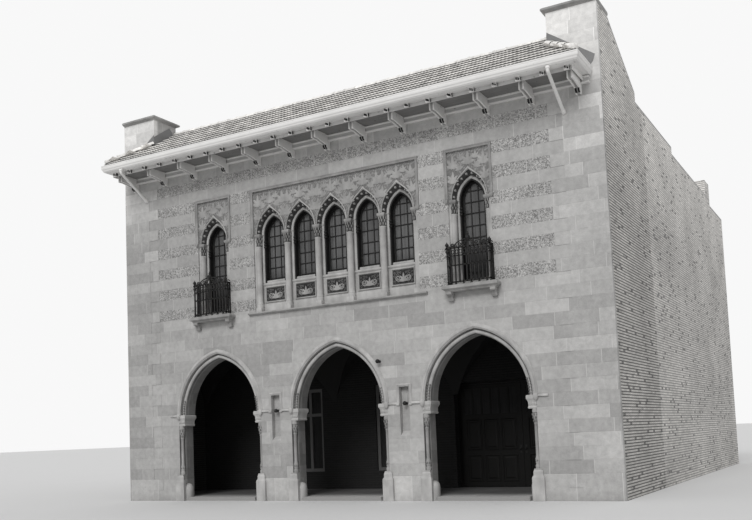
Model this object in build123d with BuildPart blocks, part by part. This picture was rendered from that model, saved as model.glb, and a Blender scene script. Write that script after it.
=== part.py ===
"""Town hall building: stone front with a vaulted porch, brick side walls and a tiled eaves roof.

Millimetres, +Z up. The origin lies on the ground, under the middle of the front wall's outer face.
X runs along the front, Y runs into the building.
"""

import math
import os

from build123d import *

# whole building
building_width = 14400
building_depth = 17200
front_thickness = 460
side_thickness = 330
rear_thickness = 330
stone_return = 120
ground_floor_top = 100
upper_floor_top = 5100
upper_floor_thickness = 250

# front wall
springing_height = 2400
lower_wall_top = 5060
front_wall_top = 9465
arch_spacing = 3860
arch_centre_offset = 317.5
arch_soffit_radius = 1555
arch_order_radius = 1690
arch_hood_radius = 1810
arch_order_depth = 140
hood_projection = 55
jamb_half_width = 1330
nook_size = 110
shaft_radius = 52
impost_height = 310
plinth_width = 220
plinth_height = 730
plinth_projection = 70
guard_radius = 170
guard_depth = 340
guard_height = 480
guard_fillet = 57
quoin_course = 302
quoin_courses = 30
quoin_long = 1260
quoin_short = 930
quoin_projection = 8

# windows of the upper floor
light_spacing = 975
light_count = 5
light_width = 600
light_springing = 7210
light_rise = 460
sill_height = 5870
balcony_sill = 5200
group_half = 2500
side_window_centre = 3895
side_window_half = 550
screen_top = 8390
screen_front = 205
screen_thickness = 145
spandrel_front = 40
head_order_width = 120
head_order_rise = 150
panel_width = 660
panel_height = 430
panel_bottom = 5330
panel_depth = 30
label_width = 70
label_projection = 45
colonnette_radius = 85
sill_string_half = 2700
sill_string_height = 70
sill_string_projection = 90
sash_bar = 45
sash_depth = 40
glass_thickness = 6

# balconies
balcony_half = 710
balcony_depth = 270
balcony_top = 5110
balcony_edge_top = 5065
balcony_edge_bottom = 5020
balcony_underside = 4950
balcony_bevel = 55
console_centre = 560
console_width = 130
console_height = 210
console_depth = 200
console_nose = 60
console_belly = 126
railing_half = 560
railing_front = 210
railing_bar = 22
railing_gap = 104
railing_levels = (5180, 5580, 5810, 6010)

# niches and lamps between the arches
niche_width = 270
niche_top = 2790
niche_height = 1200
niche_depth = 130
niche_label_width = 75
niche_label_projection = 40
niche_label_leg = 420
lamp_radius = 55
lamp_rod_radius = 15
lamp_reach = 120
lamp_height = 2376
high_lamp_place = (1283, 3453)

# eaves
eaves_half_width = 6960
eaves_reach = 1050
tail_count = 25
tail_spacing = 559
tail_width = 116
tail_height = 90
tail_reach = 930
bracket_width = 130
# reach from the wall and drop below the soffit, from the tip down to the heel
bracket_profile = ((715, 215), (545, 215), (190, 270), (165, 335), (70, 380), (0, 380))
plate_height = 155
plate_projection = 100
soffit_thickness = 30
fascia_reach = 860
fascia_thickness = 25
fascia_bottom = 9370
gutter_width = 150
gutter_height = 190
gutter_wall = 12
gutter_bottom = 9490
downspout_centre = 6330
downspout_radius = 40
downspout_bend = 60
downspout_elbow = 9380
downspout_foot = 8740

# roof
roof_eave_height = 9700
roof_ridge_height = 10960
roof_ridge_depth = 945
roof_thickness = 120
ridge_tile_radius = 95
ridge_tile_lift = 8
rear_slope_fall = 0.5
deck_front = 9560
deck_rear = 9120
deck_thickness = 160

# end piers and parapets
pier_width = 1180
pier_depth = 945
pier_top = 11180
pier_cap_height = 120
pier_cap_projection = 95
parapet_points = ((3340, 10090), (3340, 9850), (7840, 9850), (7840, 9640), (14500, 9640), (14500, 9420))
coping_thickness = 60
chimney_width = 600
chimney_depth = 820
chimney_top = 10190
chimney_place = 13680

# porch
porch_wall_front = 3000
porch_wall_thickness = 300
vault_springing = 2350
vault_rise = 1950
vault_haunch_span = 0.66
vault_haunch_rise = 0.7
vault_top = upper_floor_top - upper_floor_thickness
vault_pier_line = arch_spacing / 2
porch_window_centres = (-3255, 295)
porch_window_width = 1750
porch_window_sill = 610
porch_window_head = 3060
porch_transom = 2290
porch_frame_width = 90
porch_frame_depth = 120
porch_side_light = 330
porch_frame_setback = 60
doorway_left = 1900
doorway_width = 3700
doorway_head = 2970
door_frame_width = 60
door_clearance = 6
door_meeting_gap = 8
door_threshold_gap = 12
door_thickness = 50
door_stile = 130
door_light_height = 700
door_light_bottom = 2080
door_lights = 6
door_light_bar = 45
door_light_recess = 20
pin_radius = 10
knuckle_radius = 18
knuckle_height = 90
running_clearance = 0.3
arm_gap = 6
arm_thickness = 25
arm_radius = 14
arm_length = 70
strap_length = 160
hinge_heights = (450, 1450, 2600)

# rear wall windows
rear_window_width = 1100
rear_window_height = 1900
rear_window_spacing = 2700
rear_window_count = 5
rear_lower_sill = 1100
rear_upper_sill = 6100
rear_frame_width = 70
rear_frame_depth = 90

half_width = building_width / 2
inner_half = half_width - side_thickness
rear_inner = building_depth - rear_thickness
pier_inner = half_width - pier_width
arch_centres = (-arch_spacing, 0, arch_spacing)
light_centres = [(i - (light_count - 1) / 2) * light_spacing for i in range(light_count)]
side_centres = (-side_window_centre, side_window_centre)
window_groups = [(0, group_half)] + [(centre, side_window_half) for centre in side_centres]
lights = [(centre, sill_height) for centre in light_centres]
lights += [(centre, balcony_sill) for centre in side_centres]
street = Plane.XZ

os.makedirs("parts", exist_ok=True)
written = []


def write(builder, label):
    """Label a finished piece and write it as one STEP file."""
    builder.part.label = label
    export_step(builder.part, f"parts/{label}.step")
    written.append(label)


def block(low, high, mode=Mode.ADD):
    """A box between two corners, in the part being built."""
    centre = tuple((a + b) / 2 for a, b in zip(low, high))
    with Locations(centre):
        Box(*[b - a for a, b in zip(low, high)], mode=mode)


def mirrored_block(low, high, mode=Mode.ADD):
    """A box on the right half and its mirror image on the left half."""
    block(low, high, mode)
    block((-high[0], low[1], low[2]), (-low[0], high[1], high[2]), mode)


def arch_half_span(radius):
    """Half span at the springing of a porch arch curve of this radius."""
    return radius - arch_centre_offset


def arch_apex(radius):
    """Height of a porch arch curve's point above its springing."""
    return math.sqrt(radius**2 - arch_centre_offset**2)


def porch_arch_face(centre, radius):
    """Face of a two-centred arch opening above its springing."""
    half = arch_half_span(radius)
    apex = (centre, springing_height + arch_apex(radius))
    left = (centre - half, springing_height)
    right = (centre + half, springing_height)
    with BuildLine() as outline:
        RadiusArc(left, apex, radius)
        RadiusArc(apex, right, radius)
        Line(right, left)
    make_face(outline.edges())


def light_face(centre, half, rise, bottom):
    """Face of a pointed window light that springs from the colonnettes' capitals."""
    radius = (half**2 + rise**2) / (2 * half)
    apex = (centre, light_springing + rise)
    left = (centre - half, light_springing)
    right = (centre + half, light_springing)
    with BuildLine() as outline:
        RadiusArc(left, apex, radius)
        RadiusArc(apex, right, radius)
        if bottom < light_springing:
            Polyline(right, (right[0], bottom), (left[0], bottom), left)
        else:
            Line(right, left)
    make_face(outline.edges())


# Front wall

with BuildPart() as front_piers:
    outer_jamb = arch_spacing + jamb_half_width
    inner_jamb = arch_spacing - jamb_half_width
    mirrored_block((outer_jamb, 0, 0), (inner_half, front_thickness, springing_height))
    mirrored_block((inner_half, 0, 0), (half_width, stone_return, springing_height))
    mirrored_block((jamb_half_width, 0, 0), (inner_jamb, front_thickness, springing_height))
    for centre in arch_centres:
        for side in (-1, 1):
            edge = centre + side * jamb_half_width
            low, high = sorted((edge, edge + side * nook_size))
            block((low, 0, plinth_height), (high, arch_order_depth, springing_height), Mode.SUBTRACT)
    for centre in (-arch_spacing / 2, arch_spacing / 2):
        with BuildSketch(street) as niche:
            with Locations((centre, niche_top - niche_height / 2)):
                Rectangle(niche_width, niche_height)
        extrude(amount=-niche_depth, mode=Mode.SUBTRACT)
write(front_piers, "front_piers")

with BuildPart() as front_arcade:
    block((-inner_half, 0, springing_height), (inner_half, front_thickness, lower_wall_top))
    mirrored_block((inner_half, 0, springing_height), (half_width, stone_return, lower_wall_top))
    for centre in arch_centres:
        with BuildSketch(street):
            porch_arch_face(centre, arch_soffit_radius)
        extrude(amount=-front_thickness, mode=Mode.SUBTRACT)
        with BuildSketch(street):
            porch_arch_face(centre, arch_order_radius)
        extrude(amount=-arch_order_depth, mode=Mode.SUBTRACT)
    for centre in (-arch_spacing / 2, arch_spacing / 2):
        block(
            (centre - niche_width / 2, 0, springing_height),
            (centre + niche_width / 2, niche_depth, niche_top),
            Mode.SUBTRACT,
        )
write(front_arcade, "front_arcade")

with BuildPart() as front_upper_wall:
    block((-inner_half, 0, lower_wall_top), (inner_half, front_thickness, front_wall_top))
    mirrored_block((inner_half, 0, lower_wall_top), (half_width, stone_return, front_wall_top))
    for centre, half in window_groups:
        block(
            (centre - half, 0, lower_wall_top),
            (centre + half, front_thickness, screen_top),
            Mode.SUBTRACT,
        )
write(front_upper_wall, "front_upper_wall")

with BuildPart() as quoins:
    for row in range(quoin_courses):
        low = row * quoin_course
        high = low + quoin_course
        reach = quoin_long if row % 2 else quoin_short
        mirrored_block((half_width - reach, -quoin_projection, low), (half_width, 0, high))
write(quoins, "quoins")

# Dressings of the porch arches

with BuildPart() as arch_mouldings:
    roll_radius = (arch_order_radius - arch_soffit_radius) / 2
    for centre in arch_centres:
        with BuildSketch(street):
            porch_arch_face(centre, arch_hood_radius)
        extrude(amount=hood_projection)
        with BuildSketch(street):
            porch_arch_face(centre, arch_order_radius)
        extrude(amount=hood_projection, mode=Mode.SUBTRACT)
        with BuildSketch(street.offset(-roll_radius)):
            porch_arch_face(centre, arch_order_radius)
        extrude(amount=roll_radius - arch_order_depth)
        with BuildSketch(street.offset(-roll_radius)):
            porch_arch_face(centre, arch_soffit_radius)
        extrude(amount=roll_radius - arch_order_depth, mode=Mode.SUBTRACT)
write(arch_mouldings, "arch_mouldings")

with BuildPart() as jamb_shafts:
    shaft_top = springing_height - impost_height
    for centre in arch_centres:
        for side in (-1, 1):
            place = (centre + side * (jamb_half_width + nook_size / 2), arch_order_depth / 2)
            with Locations((*place, plinth_height)):
                Cylinder(
                    shaft_radius,
                    shaft_top - plinth_height,
                    align=(Align.CENTER, Align.CENTER, Align.MIN),
                )
write(jamb_shafts, "jamb_shafts")

with BuildPart() as impost_blocks:
    for centre in arch_centres:
        for side in (-1, 1):
            inner = centre + side * arch_half_span(arch_soffit_radius)
            low, high = sorted((inner, centre + side * jamb_half_width))
            block(
                (low, arch_order_depth, springing_height - impost_height),
                (high, front_thickness, springing_height),
            )
            low, high = sorted((inner, centre + side * (jamb_half_width + nook_size)))
            block((low, 0, springing_height - impost_height), (high, arch_order_depth, springing_height))
write(impost_blocks, "impost_blocks")

with BuildPart() as pier_plinths:
    for centre in arch_centres:
        for side in (-1, 1):
            jamb = centre + side * jamb_half_width
            low, high = sorted((jamb - side * plinth_projection, jamb + side * plinth_width))
            block((low, -plinth_projection, 0), (high, 0, plinth_height))
write(pier_plinths, "pier_plinths")

with BuildPart() as guard_stones:
    for centre in arch_centres:
        for side in (-1, 1):
            jamb = centre + side * jamb_half_width
            low, high = sorted((jamb, jamb - side * guard_radius))
            block((low, 0, 0), (high, guard_depth, guard_height))
    fillet(guard_stones.edges().group_by(Axis.Z)[-1], guard_fillet)
write(guard_stones, "guard_stones")

with BuildPart() as niche_labels:
    for centre in (-arch_spacing / 2, arch_spacing / 2):
        outer = niche_width / 2 + niche_label_width
        block(
            (centre - outer, -niche_label_projection, niche_top - niche_label_leg),
            (centre + outer, 0, niche_top + niche_label_width),
        )
        block(
            (centre - niche_width / 2, -niche_label_projection, niche_top - niche_label_leg),
            (centre + niche_width / 2, 0, niche_top),
            Mode.SUBTRACT,
        )
write(niche_labels, "niche_labels")

lamps = [(side * arch_spacing / 2, lamp_height, niche_depth) for side in (-1, 1)]
lamps.append((*high_lamp_place, 0))
with BuildPart() as wall_lamps:
    for place, height, back in lamps:
        with Locations((place, back - lamp_reach, height)):
            Sphere(lamp_radius)
        with Locations((place, back - lamp_reach / 2, height)):
            Cylinder(lamp_rod_radius, lamp_reach, rotation=(90, 0, 0))
write(wall_lamps, "wall_lamps")

# Upper windows

with BuildPart() as window_screens:
    screen_back = screen_front + screen_thickness
    for centre, half in window_groups:
        block((centre - half, screen_front, lower_wall_top), (centre + half, screen_back, screen_top))
        block((centre - half, spandrel_front, light_springing), (centre + half, screen_front, screen_top))
    for centre, sill in lights:
        with BuildSketch(street.offset(-screen_front)):
            light_face(centre, light_width / 2, light_rise, sill)
        extrude(amount=-screen_thickness, mode=Mode.SUBTRACT)
        with BuildSketch(street.offset(-spandrel_front)):
            light_face(
                centre,
                light_width / 2 + head_order_width,
                light_rise + head_order_rise,
                light_springing,
            )
        extrude(amount=spandrel_front - screen_front, mode=Mode.SUBTRACT)
write(window_screens, "window_screens")

with BuildPart() as window_colonnettes:
    places = [(i - light_count / 2) * light_spacing for i in range(1, light_count)]
    for centre, half in window_groups:
        places += [centre + side * (half - colonnette_radius) for side in (-1, 1)]
    for place in places:
        with Locations((place, screen_front - colonnette_radius, lower_wall_top)):
            Cylinder(
                colonnette_radius,
                light_springing - lower_wall_top,
                align=(Align.CENTER, Align.CENTER, Align.MIN),
            )
write(window_colonnettes, "window_colonnettes")

with BuildPart() as carved_panels:
    for centre in light_centres:
        block(
            (centre - panel_width / 2, screen_front - panel_depth, panel_bottom),
            (centre + panel_width / 2, screen_front, panel_bottom + panel_height),
        )
write(carved_panels, "carved_panels")

with BuildPart() as window_labels:
    for centre, half in window_groups:
        block(
            (centre - half - label_width, -label_projection, light_springing),
            (centre + half + label_width, 0, screen_top + label_width),
        )
        block(
            (centre - half, -label_projection, light_springing),
            (centre + half, 0, screen_top),
            Mode.SUBTRACT,
        )
write(window_labels, "window_labels")

with BuildPart() as sill_string:
    block(
        (-sill_string_half, -sill_string_projection, lower_wall_top - sill_string_height),
        (sill_string_half, 0, lower_wall_top),
    )
write(sill_string, "sill_string")

sash_rise = light_rise - sash_bar
sash_half = light_width / 2 - sash_bar
with BuildPart() as window_sashes:
    for centre, sill in lights:
        with BuildSketch(street.offset(-screen_back)):
            light_face(centre, light_width / 2, light_rise, sill)
        extrude(amount=-sash_depth)
        with BuildSketch(street.offset(-screen_back)):
            light_face(centre, sash_half, sash_rise, sill + sash_bar)
        extrude(amount=-sash_depth, mode=Mode.SUBTRACT)
write(window_sashes, "window_sashes")

# Balconies

with BuildPart() as balconies:
    for centre in side_centres:
        with BuildSketch(Plane.YZ.offset(centre - balcony_half)):
            with BuildLine():
                Polyline(
                    (0, balcony_underside),
                    (0, balcony_top),
                    (balcony_bevel - balcony_depth, balcony_top),
                    (-balcony_depth, balcony_edge_top),
                    (-balcony_depth, balcony_edge_bottom),
                    (balcony_bevel - balcony_depth, balcony_underside),
                    close=True,
                )
            make_face()
        extrude(amount=2 * balcony_half)
        for side in (-1, 1):
            place = centre + side * console_centre
            with BuildSketch(Plane.YZ.offset(place - console_width / 2)):
                with BuildLine():
                    front_foot = (-console_depth, balcony_underside - console_nose)
                    Polyline(
                        (0, balcony_underside - console_height),
                        (0, balcony_underside),
                        (-console_depth, balcony_underside),
                        front_foot,
                    )
                    Spline(
                        front_foot,
                        (-console_depth / 2, balcony_underside - console_belly),
                        (0, balcony_underside - console_height),
                    )
                make_face()
            extrude(amount=console_width)
write(balconies, "balconies")

with BuildPart() as balcony_railings:
    bar_count = round(2 * railing_half / railing_gap)
    bar_pitch = (2 * railing_half - railing_bar) / bar_count
    for centre in side_centres:
        left = centre - railing_half
        for level in railing_levels:
            block(
                (left, -railing_front, level - railing_bar),
                (left + 2 * railing_half, railing_bar - railing_front, level),
            )
            for start in (left, left + 2 * railing_half - railing_bar):
                block((start, -railing_front, level - railing_bar), (start + railing_bar, 0, level))
        for index in range(bar_count + 1):
            start = left + index * bar_pitch
            block(
                (start, -railing_front, balcony_top),
                (start + railing_bar, railing_bar - railing_front, railing_levels[-1]),
            )
        for start in (left, left + 2 * railing_half - railing_bar):
            block(
                (start, -(railing_front + railing_bar) / 2, balcony_top),
                (start + railing_bar, (railing_bar - railing_front) / 2, railing_levels[-1]),
            )
write(balcony_railings, "balcony_railings")

# Eaves

with BuildPart() as wall_plate:
    block(
        (-eaves_half_width, -plate_projection, front_wall_top - plate_height),
        (eaves_half_width, 0, front_wall_top),
    )
write(wall_plate, "wall_plate")

tail_places = [(index - (tail_count - 1) / 2) * tail_spacing for index in range(tail_count)]
tail_bottom = front_wall_top - tail_height
fascia_back = -fascia_reach + fascia_thickness
with BuildPart() as joist_tails:
    for place in tail_places:
        block(
            (place - tail_width / 2, -tail_reach, tail_bottom),
            (place + tail_width / 2, fascia_back, front_wall_top),
        )
write(joist_tails, "joist_tails")

with BuildPart() as eaves_brackets:
    for place in tail_places[::2]:
        with BuildSketch(Plane.YZ.offset(place - bracket_width / 2)):
            with BuildLine():
                Polyline(
                    (-plate_projection, front_wall_top),
                    (-bracket_profile[0][0], front_wall_top),
                    *[(-reach, front_wall_top - drop) for reach, drop in bracket_profile],
                    (0, front_wall_top - plate_height),
                    (-plate_projection, front_wall_top - plate_height),
                    (-plate_projection, front_wall_top),
                )
            make_face()
        extrude(amount=bracket_width)
write(eaves_brackets, "eaves_brackets")

with BuildPart() as eaves_soffit:
    soffit_half = eaves_half_width - gutter_width
    block(
        (-soffit_half, -eaves_reach + gutter_width / 2, front_wall_top),
        (soffit_half, 0, front_wall_top + soffit_thickness),
    )
    # fascia board, notched over the tails of the joists
    block((-soffit_half, -fascia_reach, fascia_bottom), (soffit_half, fascia_back, front_wall_top))
    for place in tail_places:
        block(
            (place - tail_width / 2, -fascia_reach, tail_bottom),
            (place + tail_width / 2, fascia_back, front_wall_top),
            Mode.SUBTRACT,
        )
write(eaves_soffit, "eaves_soffit")

# Roof


def hip_block(drop):
    """Solid of the front roof, hipped in front of the end piers and lowered by a drop."""
    base = front_wall_top + soffit_thickness
    slope = (roof_ridge_height - roof_eave_height) / (roof_ridge_depth + eaves_reach)
    corner_height = roof_eave_height + slope * eaves_reach
    with BuildPart() as form:
        with BuildSketch(Plane.YZ.offset(-eaves_half_width)):
            with BuildLine():
                Polyline(
                    (-eaves_reach, base),
                    (-eaves_reach, roof_eave_height - drop),
                    (roof_ridge_depth, roof_ridge_height - drop),
                    (roof_ridge_depth, base),
                    close=True,
                )
            make_face()
        extrude(amount=2 * eaves_half_width)
        with BuildSketch(street.offset(eaves_reach)):
            with BuildLine():
                Polyline(
                    (-eaves_half_width, base),
                    (-eaves_half_width, roof_eave_height - drop),
                    (-pier_inner, corner_height - drop),
                    (-pier_inner, roof_ridge_height),
                    (pier_inner, roof_ridge_height),
                    (pier_inner, corner_height - drop),
                    (eaves_half_width, roof_eave_height - drop),
                    (eaves_half_width, base),
                    close=True,
                )
            make_face()
        extrude(amount=-eaves_reach - roof_ridge_depth, mode=Mode.INTERSECT)
    return form.part


roof_outside = hip_block(0)
roof_inside = hip_block(roof_thickness)

with BuildPart() as front_roof:
    add(roof_outside)
    add(roof_inside, mode=Mode.SUBTRACT)
    mirrored_block(
        (pier_inner, 0, front_wall_top),
        (half_width, roof_ridge_depth, roof_ridge_height),
        Mode.SUBTRACT,
    )
write(front_roof, "front_roof")

deck_start = roof_ridge_depth + (roof_ridge_height - deck_front) / rear_slope_fall
with BuildPart() as rear_roof_slope:
    with BuildSketch(Plane.YZ.offset(-inner_half)):
        with BuildLine():
            Polyline(
                (roof_ridge_depth, roof_ridge_height),
                (deck_start, deck_front),
                (deck_start, deck_front - roof_thickness),
                (roof_ridge_depth, roof_ridge_height - roof_thickness),
                close=True,
            )
        make_face()
    extrude(amount=2 * inner_half)
write(rear_roof_slope, "rear_roof_slope")

with BuildPart() as roof_deck:
    with BuildSketch(Plane.YZ.offset(-inner_half)):
        with BuildLine():
            Polyline(
                (deck_start, deck_front),
                (rear_inner, deck_rear),
                (rear_inner, deck_rear - deck_thickness),
                (deck_start, deck_front - deck_thickness),
                close=True,
            )
        make_face()
    extrude(amount=2 * inner_half)
write(roof_deck, "roof_deck")

with BuildPart() as ridge_tiles:
    with BuildSketch(Plane.YZ.offset(-pier_inner)):
        with Locations((roof_ridge_depth, roof_ridge_height + ridge_tile_lift)):
            Circle(ridge_tile_radius)
            with Locations((0, -ridge_tile_radius / 2)):
                Rectangle(2 * ridge_tile_radius, ridge_tile_radius, mode=Mode.SUBTRACT)
    extrude(amount=2 * pier_inner)
    add(roof_outside, mode=Mode.SUBTRACT)
    add(rear_roof_slope.part, mode=Mode.SUBTRACT)
write(ridge_tiles, "ridge_tiles")

with BuildPart() as gutter:
    lip = eaves_reach + gutter_width / 2
    top = gutter_bottom + gutter_height
    mouth = eaves_half_width + gutter_width / 2
    block((-mouth, -lip, gutter_bottom), (mouth, 0, top))
    block(
        (-mouth + gutter_wall, -lip + gutter_wall, gutter_bottom + gutter_wall),
        (mouth - gutter_wall, 0, top),
        Mode.SUBTRACT,
    )
    inner_edge = eaves_half_width - gutter_width / 2
    block(
        (-inner_edge, -lip + gutter_width, gutter_bottom),
        (inner_edge, 0, gutter_bottom + gutter_wall),
        Mode.SUBTRACT,
    )
    block(
        (-eaves_half_width, -eaves_reach, gutter_bottom),
        (eaves_half_width, 0, top),
        Mode.SUBTRACT,
    )
write(gutter, "gutter")

with BuildPart() as downspouts:
    for side in (-1, 1):
        centre = side * downspout_centre
        with BuildLine() as path:
            FilletPolyline(
                (centre, -eaves_reach, gutter_bottom),
                (centre, -eaves_reach, downspout_elbow),
                (centre, 0, downspout_foot),
                radius=downspout_bend,
            )
        with BuildSketch(Plane.XY.offset(gutter_bottom)):
            with Locations((centre, -eaves_reach)):
                Circle(downspout_radius)
        sweep(path=path.wire())
    mirrored_block(
        (downspout_centre - quoin_long, -quoin_projection, lower_wall_top),
        (half_width, eaves_reach, front_wall_top),
        Mode.SUBTRACT,
    )
write(downspouts, "downspouts")

# End piers, side walls and parapets

with BuildPart() as end_piers:
    mirrored_block((pier_inner, 0, front_wall_top), (inner_half, pier_depth, pier_top))
    mirrored_block((inner_half, 0, front_wall_top), (half_width, stone_return, pier_top))
write(end_piers, "end_piers")

with BuildPart() as pier_caps:
    out = pier_cap_projection
    mirrored_block(
        (pier_inner - out, -out, pier_top),
        (half_width, pier_depth + out, pier_top + pier_cap_height),
    )
write(pier_caps, "pier_caps")

coping_line = [(pier_depth, pier_top), *parapet_points, (building_depth, parapet_points[-1][1])]
wall_line = [(along, height - coping_thickness) for along, height in coping_line]
wall_outline = [
    (stone_return, 0),
    (stone_return, pier_top),
    (pier_depth, pier_top),
    *wall_line,
    (building_depth, 0),
]
for label, low in (("left_side_wall", -half_width), ("right_side_wall", inner_half)):
    with BuildPart() as side_wall:
        with BuildSketch(Plane.YZ.offset(low)):
            with BuildLine():
                Polyline(*wall_outline, close=True)
            make_face()
        extrude(amount=side_thickness)
    write(side_wall, label)

with BuildPart() as parapet_copings:
    level_runs = [run for run in zip(coping_line, coping_line[1:]) if run[0][0] < run[1][0]]
    for low in (-half_width, inner_half):
        for start, end in level_runs:
            with BuildSketch(Plane.YZ.offset(low)):
                with BuildLine():
                    Polyline(
                        start,
                        end,
                        (end[0], end[1] - coping_thickness),
                        (start[0], start[1] - coping_thickness),
                        close=True,
                    )
                make_face()
            extrude(amount=side_thickness)
write(parapet_copings, "parapet_copings")

with BuildPart() as rear_coping:
    block(
        (-inner_half, rear_inner, wall_line[-1][1]),
        (inner_half, building_depth, coping_line[-1][1]),
    )
write(rear_coping, "rear_coping")

rear_openings = [
    ((index - (rear_window_count - 1) / 2) * rear_window_spacing, sill)
    for index in range(rear_window_count)
    for sill in (rear_lower_sill, rear_upper_sill)
]

with BuildPart() as rear_wall:
    block((-inner_half, rear_inner, 0), (inner_half, building_depth, wall_line[-1][1]))
    for place, sill in rear_openings:
        block(
            (place - rear_window_width / 2, rear_inner, sill),
            (place + rear_window_width / 2, building_depth, sill + rear_window_height),
            Mode.SUBTRACT,
        )
write(rear_wall, "rear_wall")

rear_frame_front = building_depth - (rear_thickness + rear_frame_depth) / 2
rear_pane_height = (rear_window_height - 3 * rear_frame_width) / 2
with BuildPart() as rear_windows:
    for place, sill in rear_openings:
        left = place - rear_window_width / 2
        right = place + rear_window_width / 2
        head = sill + rear_window_height
        block((left, rear_frame_front, sill), (right, rear_frame_front + rear_frame_depth, head))
        for bottom in (sill + rear_frame_width, sill + 2 * rear_frame_width + rear_pane_height):
            block(
                (left + rear_frame_width, rear_frame_front, bottom),
                (right - rear_frame_width, rear_frame_front + rear_frame_depth, bottom + rear_pane_height),
                Mode.SUBTRACT,
            )
write(rear_windows, "rear_windows")

with BuildPart() as chimney:
    block(
        (half_width - chimney_width, chimney_place, deck_rear),
        (half_width, chimney_place + chimney_depth, chimney_top),
    )
    # side_wall holds the right wall here, the last one made
    for neighbour in (roof_deck, side_wall, parapet_copings):
        add(neighbour.part, mode=Mode.SUBTRACT)
write(chimney, "chimney")

# Floors

with BuildPart() as ground_floor:
    block((-inner_half, front_thickness, 0), (inner_half, rear_inner, ground_floor_top))
    for centre in arch_centres:
        block(
            (centre - jamb_half_width, plinth_projection, 0),
            (centre + jamb_half_width, front_thickness, ground_floor_top),
        )
        # the step's edge between the two plinths
        half_gap = jamb_half_width - plinth_projection
        block(
            (centre - half_gap, 0, 0),
            (centre + half_gap, plinth_projection, ground_floor_top),
        )
    add(guard_stones.part, mode=Mode.SUBTRACT)
write(ground_floor, "ground_floor")

with BuildPart() as upper_floor:
    block(
        (-inner_half, front_thickness, upper_floor_top - upper_floor_thickness),
        (inner_half, rear_inner, upper_floor_top),
    )
write(upper_floor, "upper_floor")

# Porch

doorway_right = doorway_left + doorway_width
porch_wall_back = porch_wall_front + porch_wall_thickness

with BuildPart() as porch_wall_left:
    block(
        (-inner_half, porch_wall_front, ground_floor_top),
        (doorway_left, porch_wall_back, vault_top),
    )
    for centre in porch_window_centres:
        block(
            (centre - porch_window_width / 2, porch_wall_front, porch_window_sill),
            (centre + porch_window_width / 2, porch_wall_back, porch_window_head),
            Mode.SUBTRACT,
        )
write(porch_wall_left, "porch_wall_left")

with BuildPart() as porch_wall_right:
    block(
        (doorway_right, porch_wall_front, ground_floor_top),
        (inner_half, porch_wall_back, vault_top),
    )
write(porch_wall_right, "porch_wall_right")

with BuildPart() as porch_wall_over_door:
    block(
        (doorway_left, porch_wall_front, doorway_head),
        (doorway_right, porch_wall_back, vault_top),
    )
write(porch_wall_over_door, "porch_wall_over_door")


def vault_section(low, high):
    """Pointed section of a vault between two lines at the springing height."""
    middle = (low + high) / 2
    half = (high - low) / 2
    crown = vault_springing + vault_rise
    with BuildLine() as outline:
        ThreePointArc(
            (low, vault_springing),
            (middle - vault_haunch_span * half, vault_springing + vault_haunch_rise * vault_rise),
            (middle, crown),
        )
        ThreePointArc(
            (middle, crown),
            (middle + vault_haunch_span * half, vault_springing + vault_haunch_rise * vault_rise),
            (high, vault_springing),
        )
        Line((high, vault_springing), (low, vault_springing))
    make_face(outline.edges())


bay_lines = (-inner_half, -vault_pier_line, vault_pier_line, inner_half)
with BuildPart() as vault_hollow:
    for low, high in zip(bay_lines, bay_lines[1:]):
        with BuildSketch(street.offset(-front_thickness)):
            vault_section(low, high)
        extrude(amount=front_thickness - porch_wall_front)
    with BuildSketch(Plane.YZ.offset(-inner_half)):
        vault_section(front_thickness, porch_wall_front)
    extrude(amount=2 * inner_half)

with BuildPart() as porch_vaults:
    block((-inner_half, front_thickness, vault_springing), (inner_half, porch_wall_front, vault_top))
    add(vault_hollow.part, mode=Mode.SUBTRACT)
write(porch_vaults, "porch_vaults")

middle_light = porch_window_width - 2 * porch_side_light - 4 * porch_frame_width
porch_panes = []
start = porch_frame_width
for width in (porch_side_light, middle_light, porch_side_light):
    for bottom, top in (
        (porch_window_sill + porch_frame_width, porch_transom - porch_frame_width / 2),
        (porch_transom + porch_frame_width / 2, porch_window_head - porch_frame_width),
    ):
        porch_panes.append((start, width, bottom, top))
    start += width + porch_frame_width
frame_front = porch_wall_front + porch_frame_setback
frame_back = frame_front + porch_frame_depth

with BuildPart() as porch_windows:
    for centre in porch_window_centres:
        left = centre - porch_window_width / 2
        block(
            (left, frame_front, porch_window_sill),
            (left + porch_window_width, frame_back, porch_window_head),
        )
        for low, width, bottom, top in porch_panes:
            block(
                (left + low, frame_front, bottom),
                (left + low + width, frame_back, top),
                Mode.SUBTRACT,
            )
write(porch_windows, "porch_windows")

with BuildPart() as window_glass:
    for centre, sill in lights:
        with BuildSketch(street.offset(-screen_back - sash_depth / 2)):
            light_face(centre, sash_half, sash_rise, sill + sash_bar)
        extrude(amount=-glass_thickness)
    pane_front = (frame_front + frame_back - glass_thickness) / 2
    for centre in porch_window_centres:
        left = centre - porch_window_width / 2
        for low, width, bottom, top in porch_panes:
            block(
                (left + low, pane_front, bottom),
                (left + low + width, pane_front + glass_thickness, top),
            )
    pane_front = rear_frame_front + (rear_frame_depth - glass_thickness) / 2
    for place, sill in rear_openings:
        for bottom in (sill + rear_frame_width, sill + 2 * rear_frame_width + rear_pane_height):
            block(
                (place - rear_window_width / 2 + rear_frame_width, pane_front, bottom),
                (
                    place + rear_window_width / 2 - rear_frame_width,
                    pane_front + glass_thickness,
                    bottom + rear_pane_height,
                ),
            )
write(window_glass, "window_glass")

# Doors of the porch

door_back = porch_wall_back
door_front = door_back - door_thickness
opening_left = doorway_left + door_frame_width
opening_right = doorway_right - door_frame_width
hinge_line = porch_wall_back + knuckle_radius + door_clearance
hinge_left = opening_left + door_clearance / 2
hinge_right = opening_right - door_clearance / 2

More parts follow.
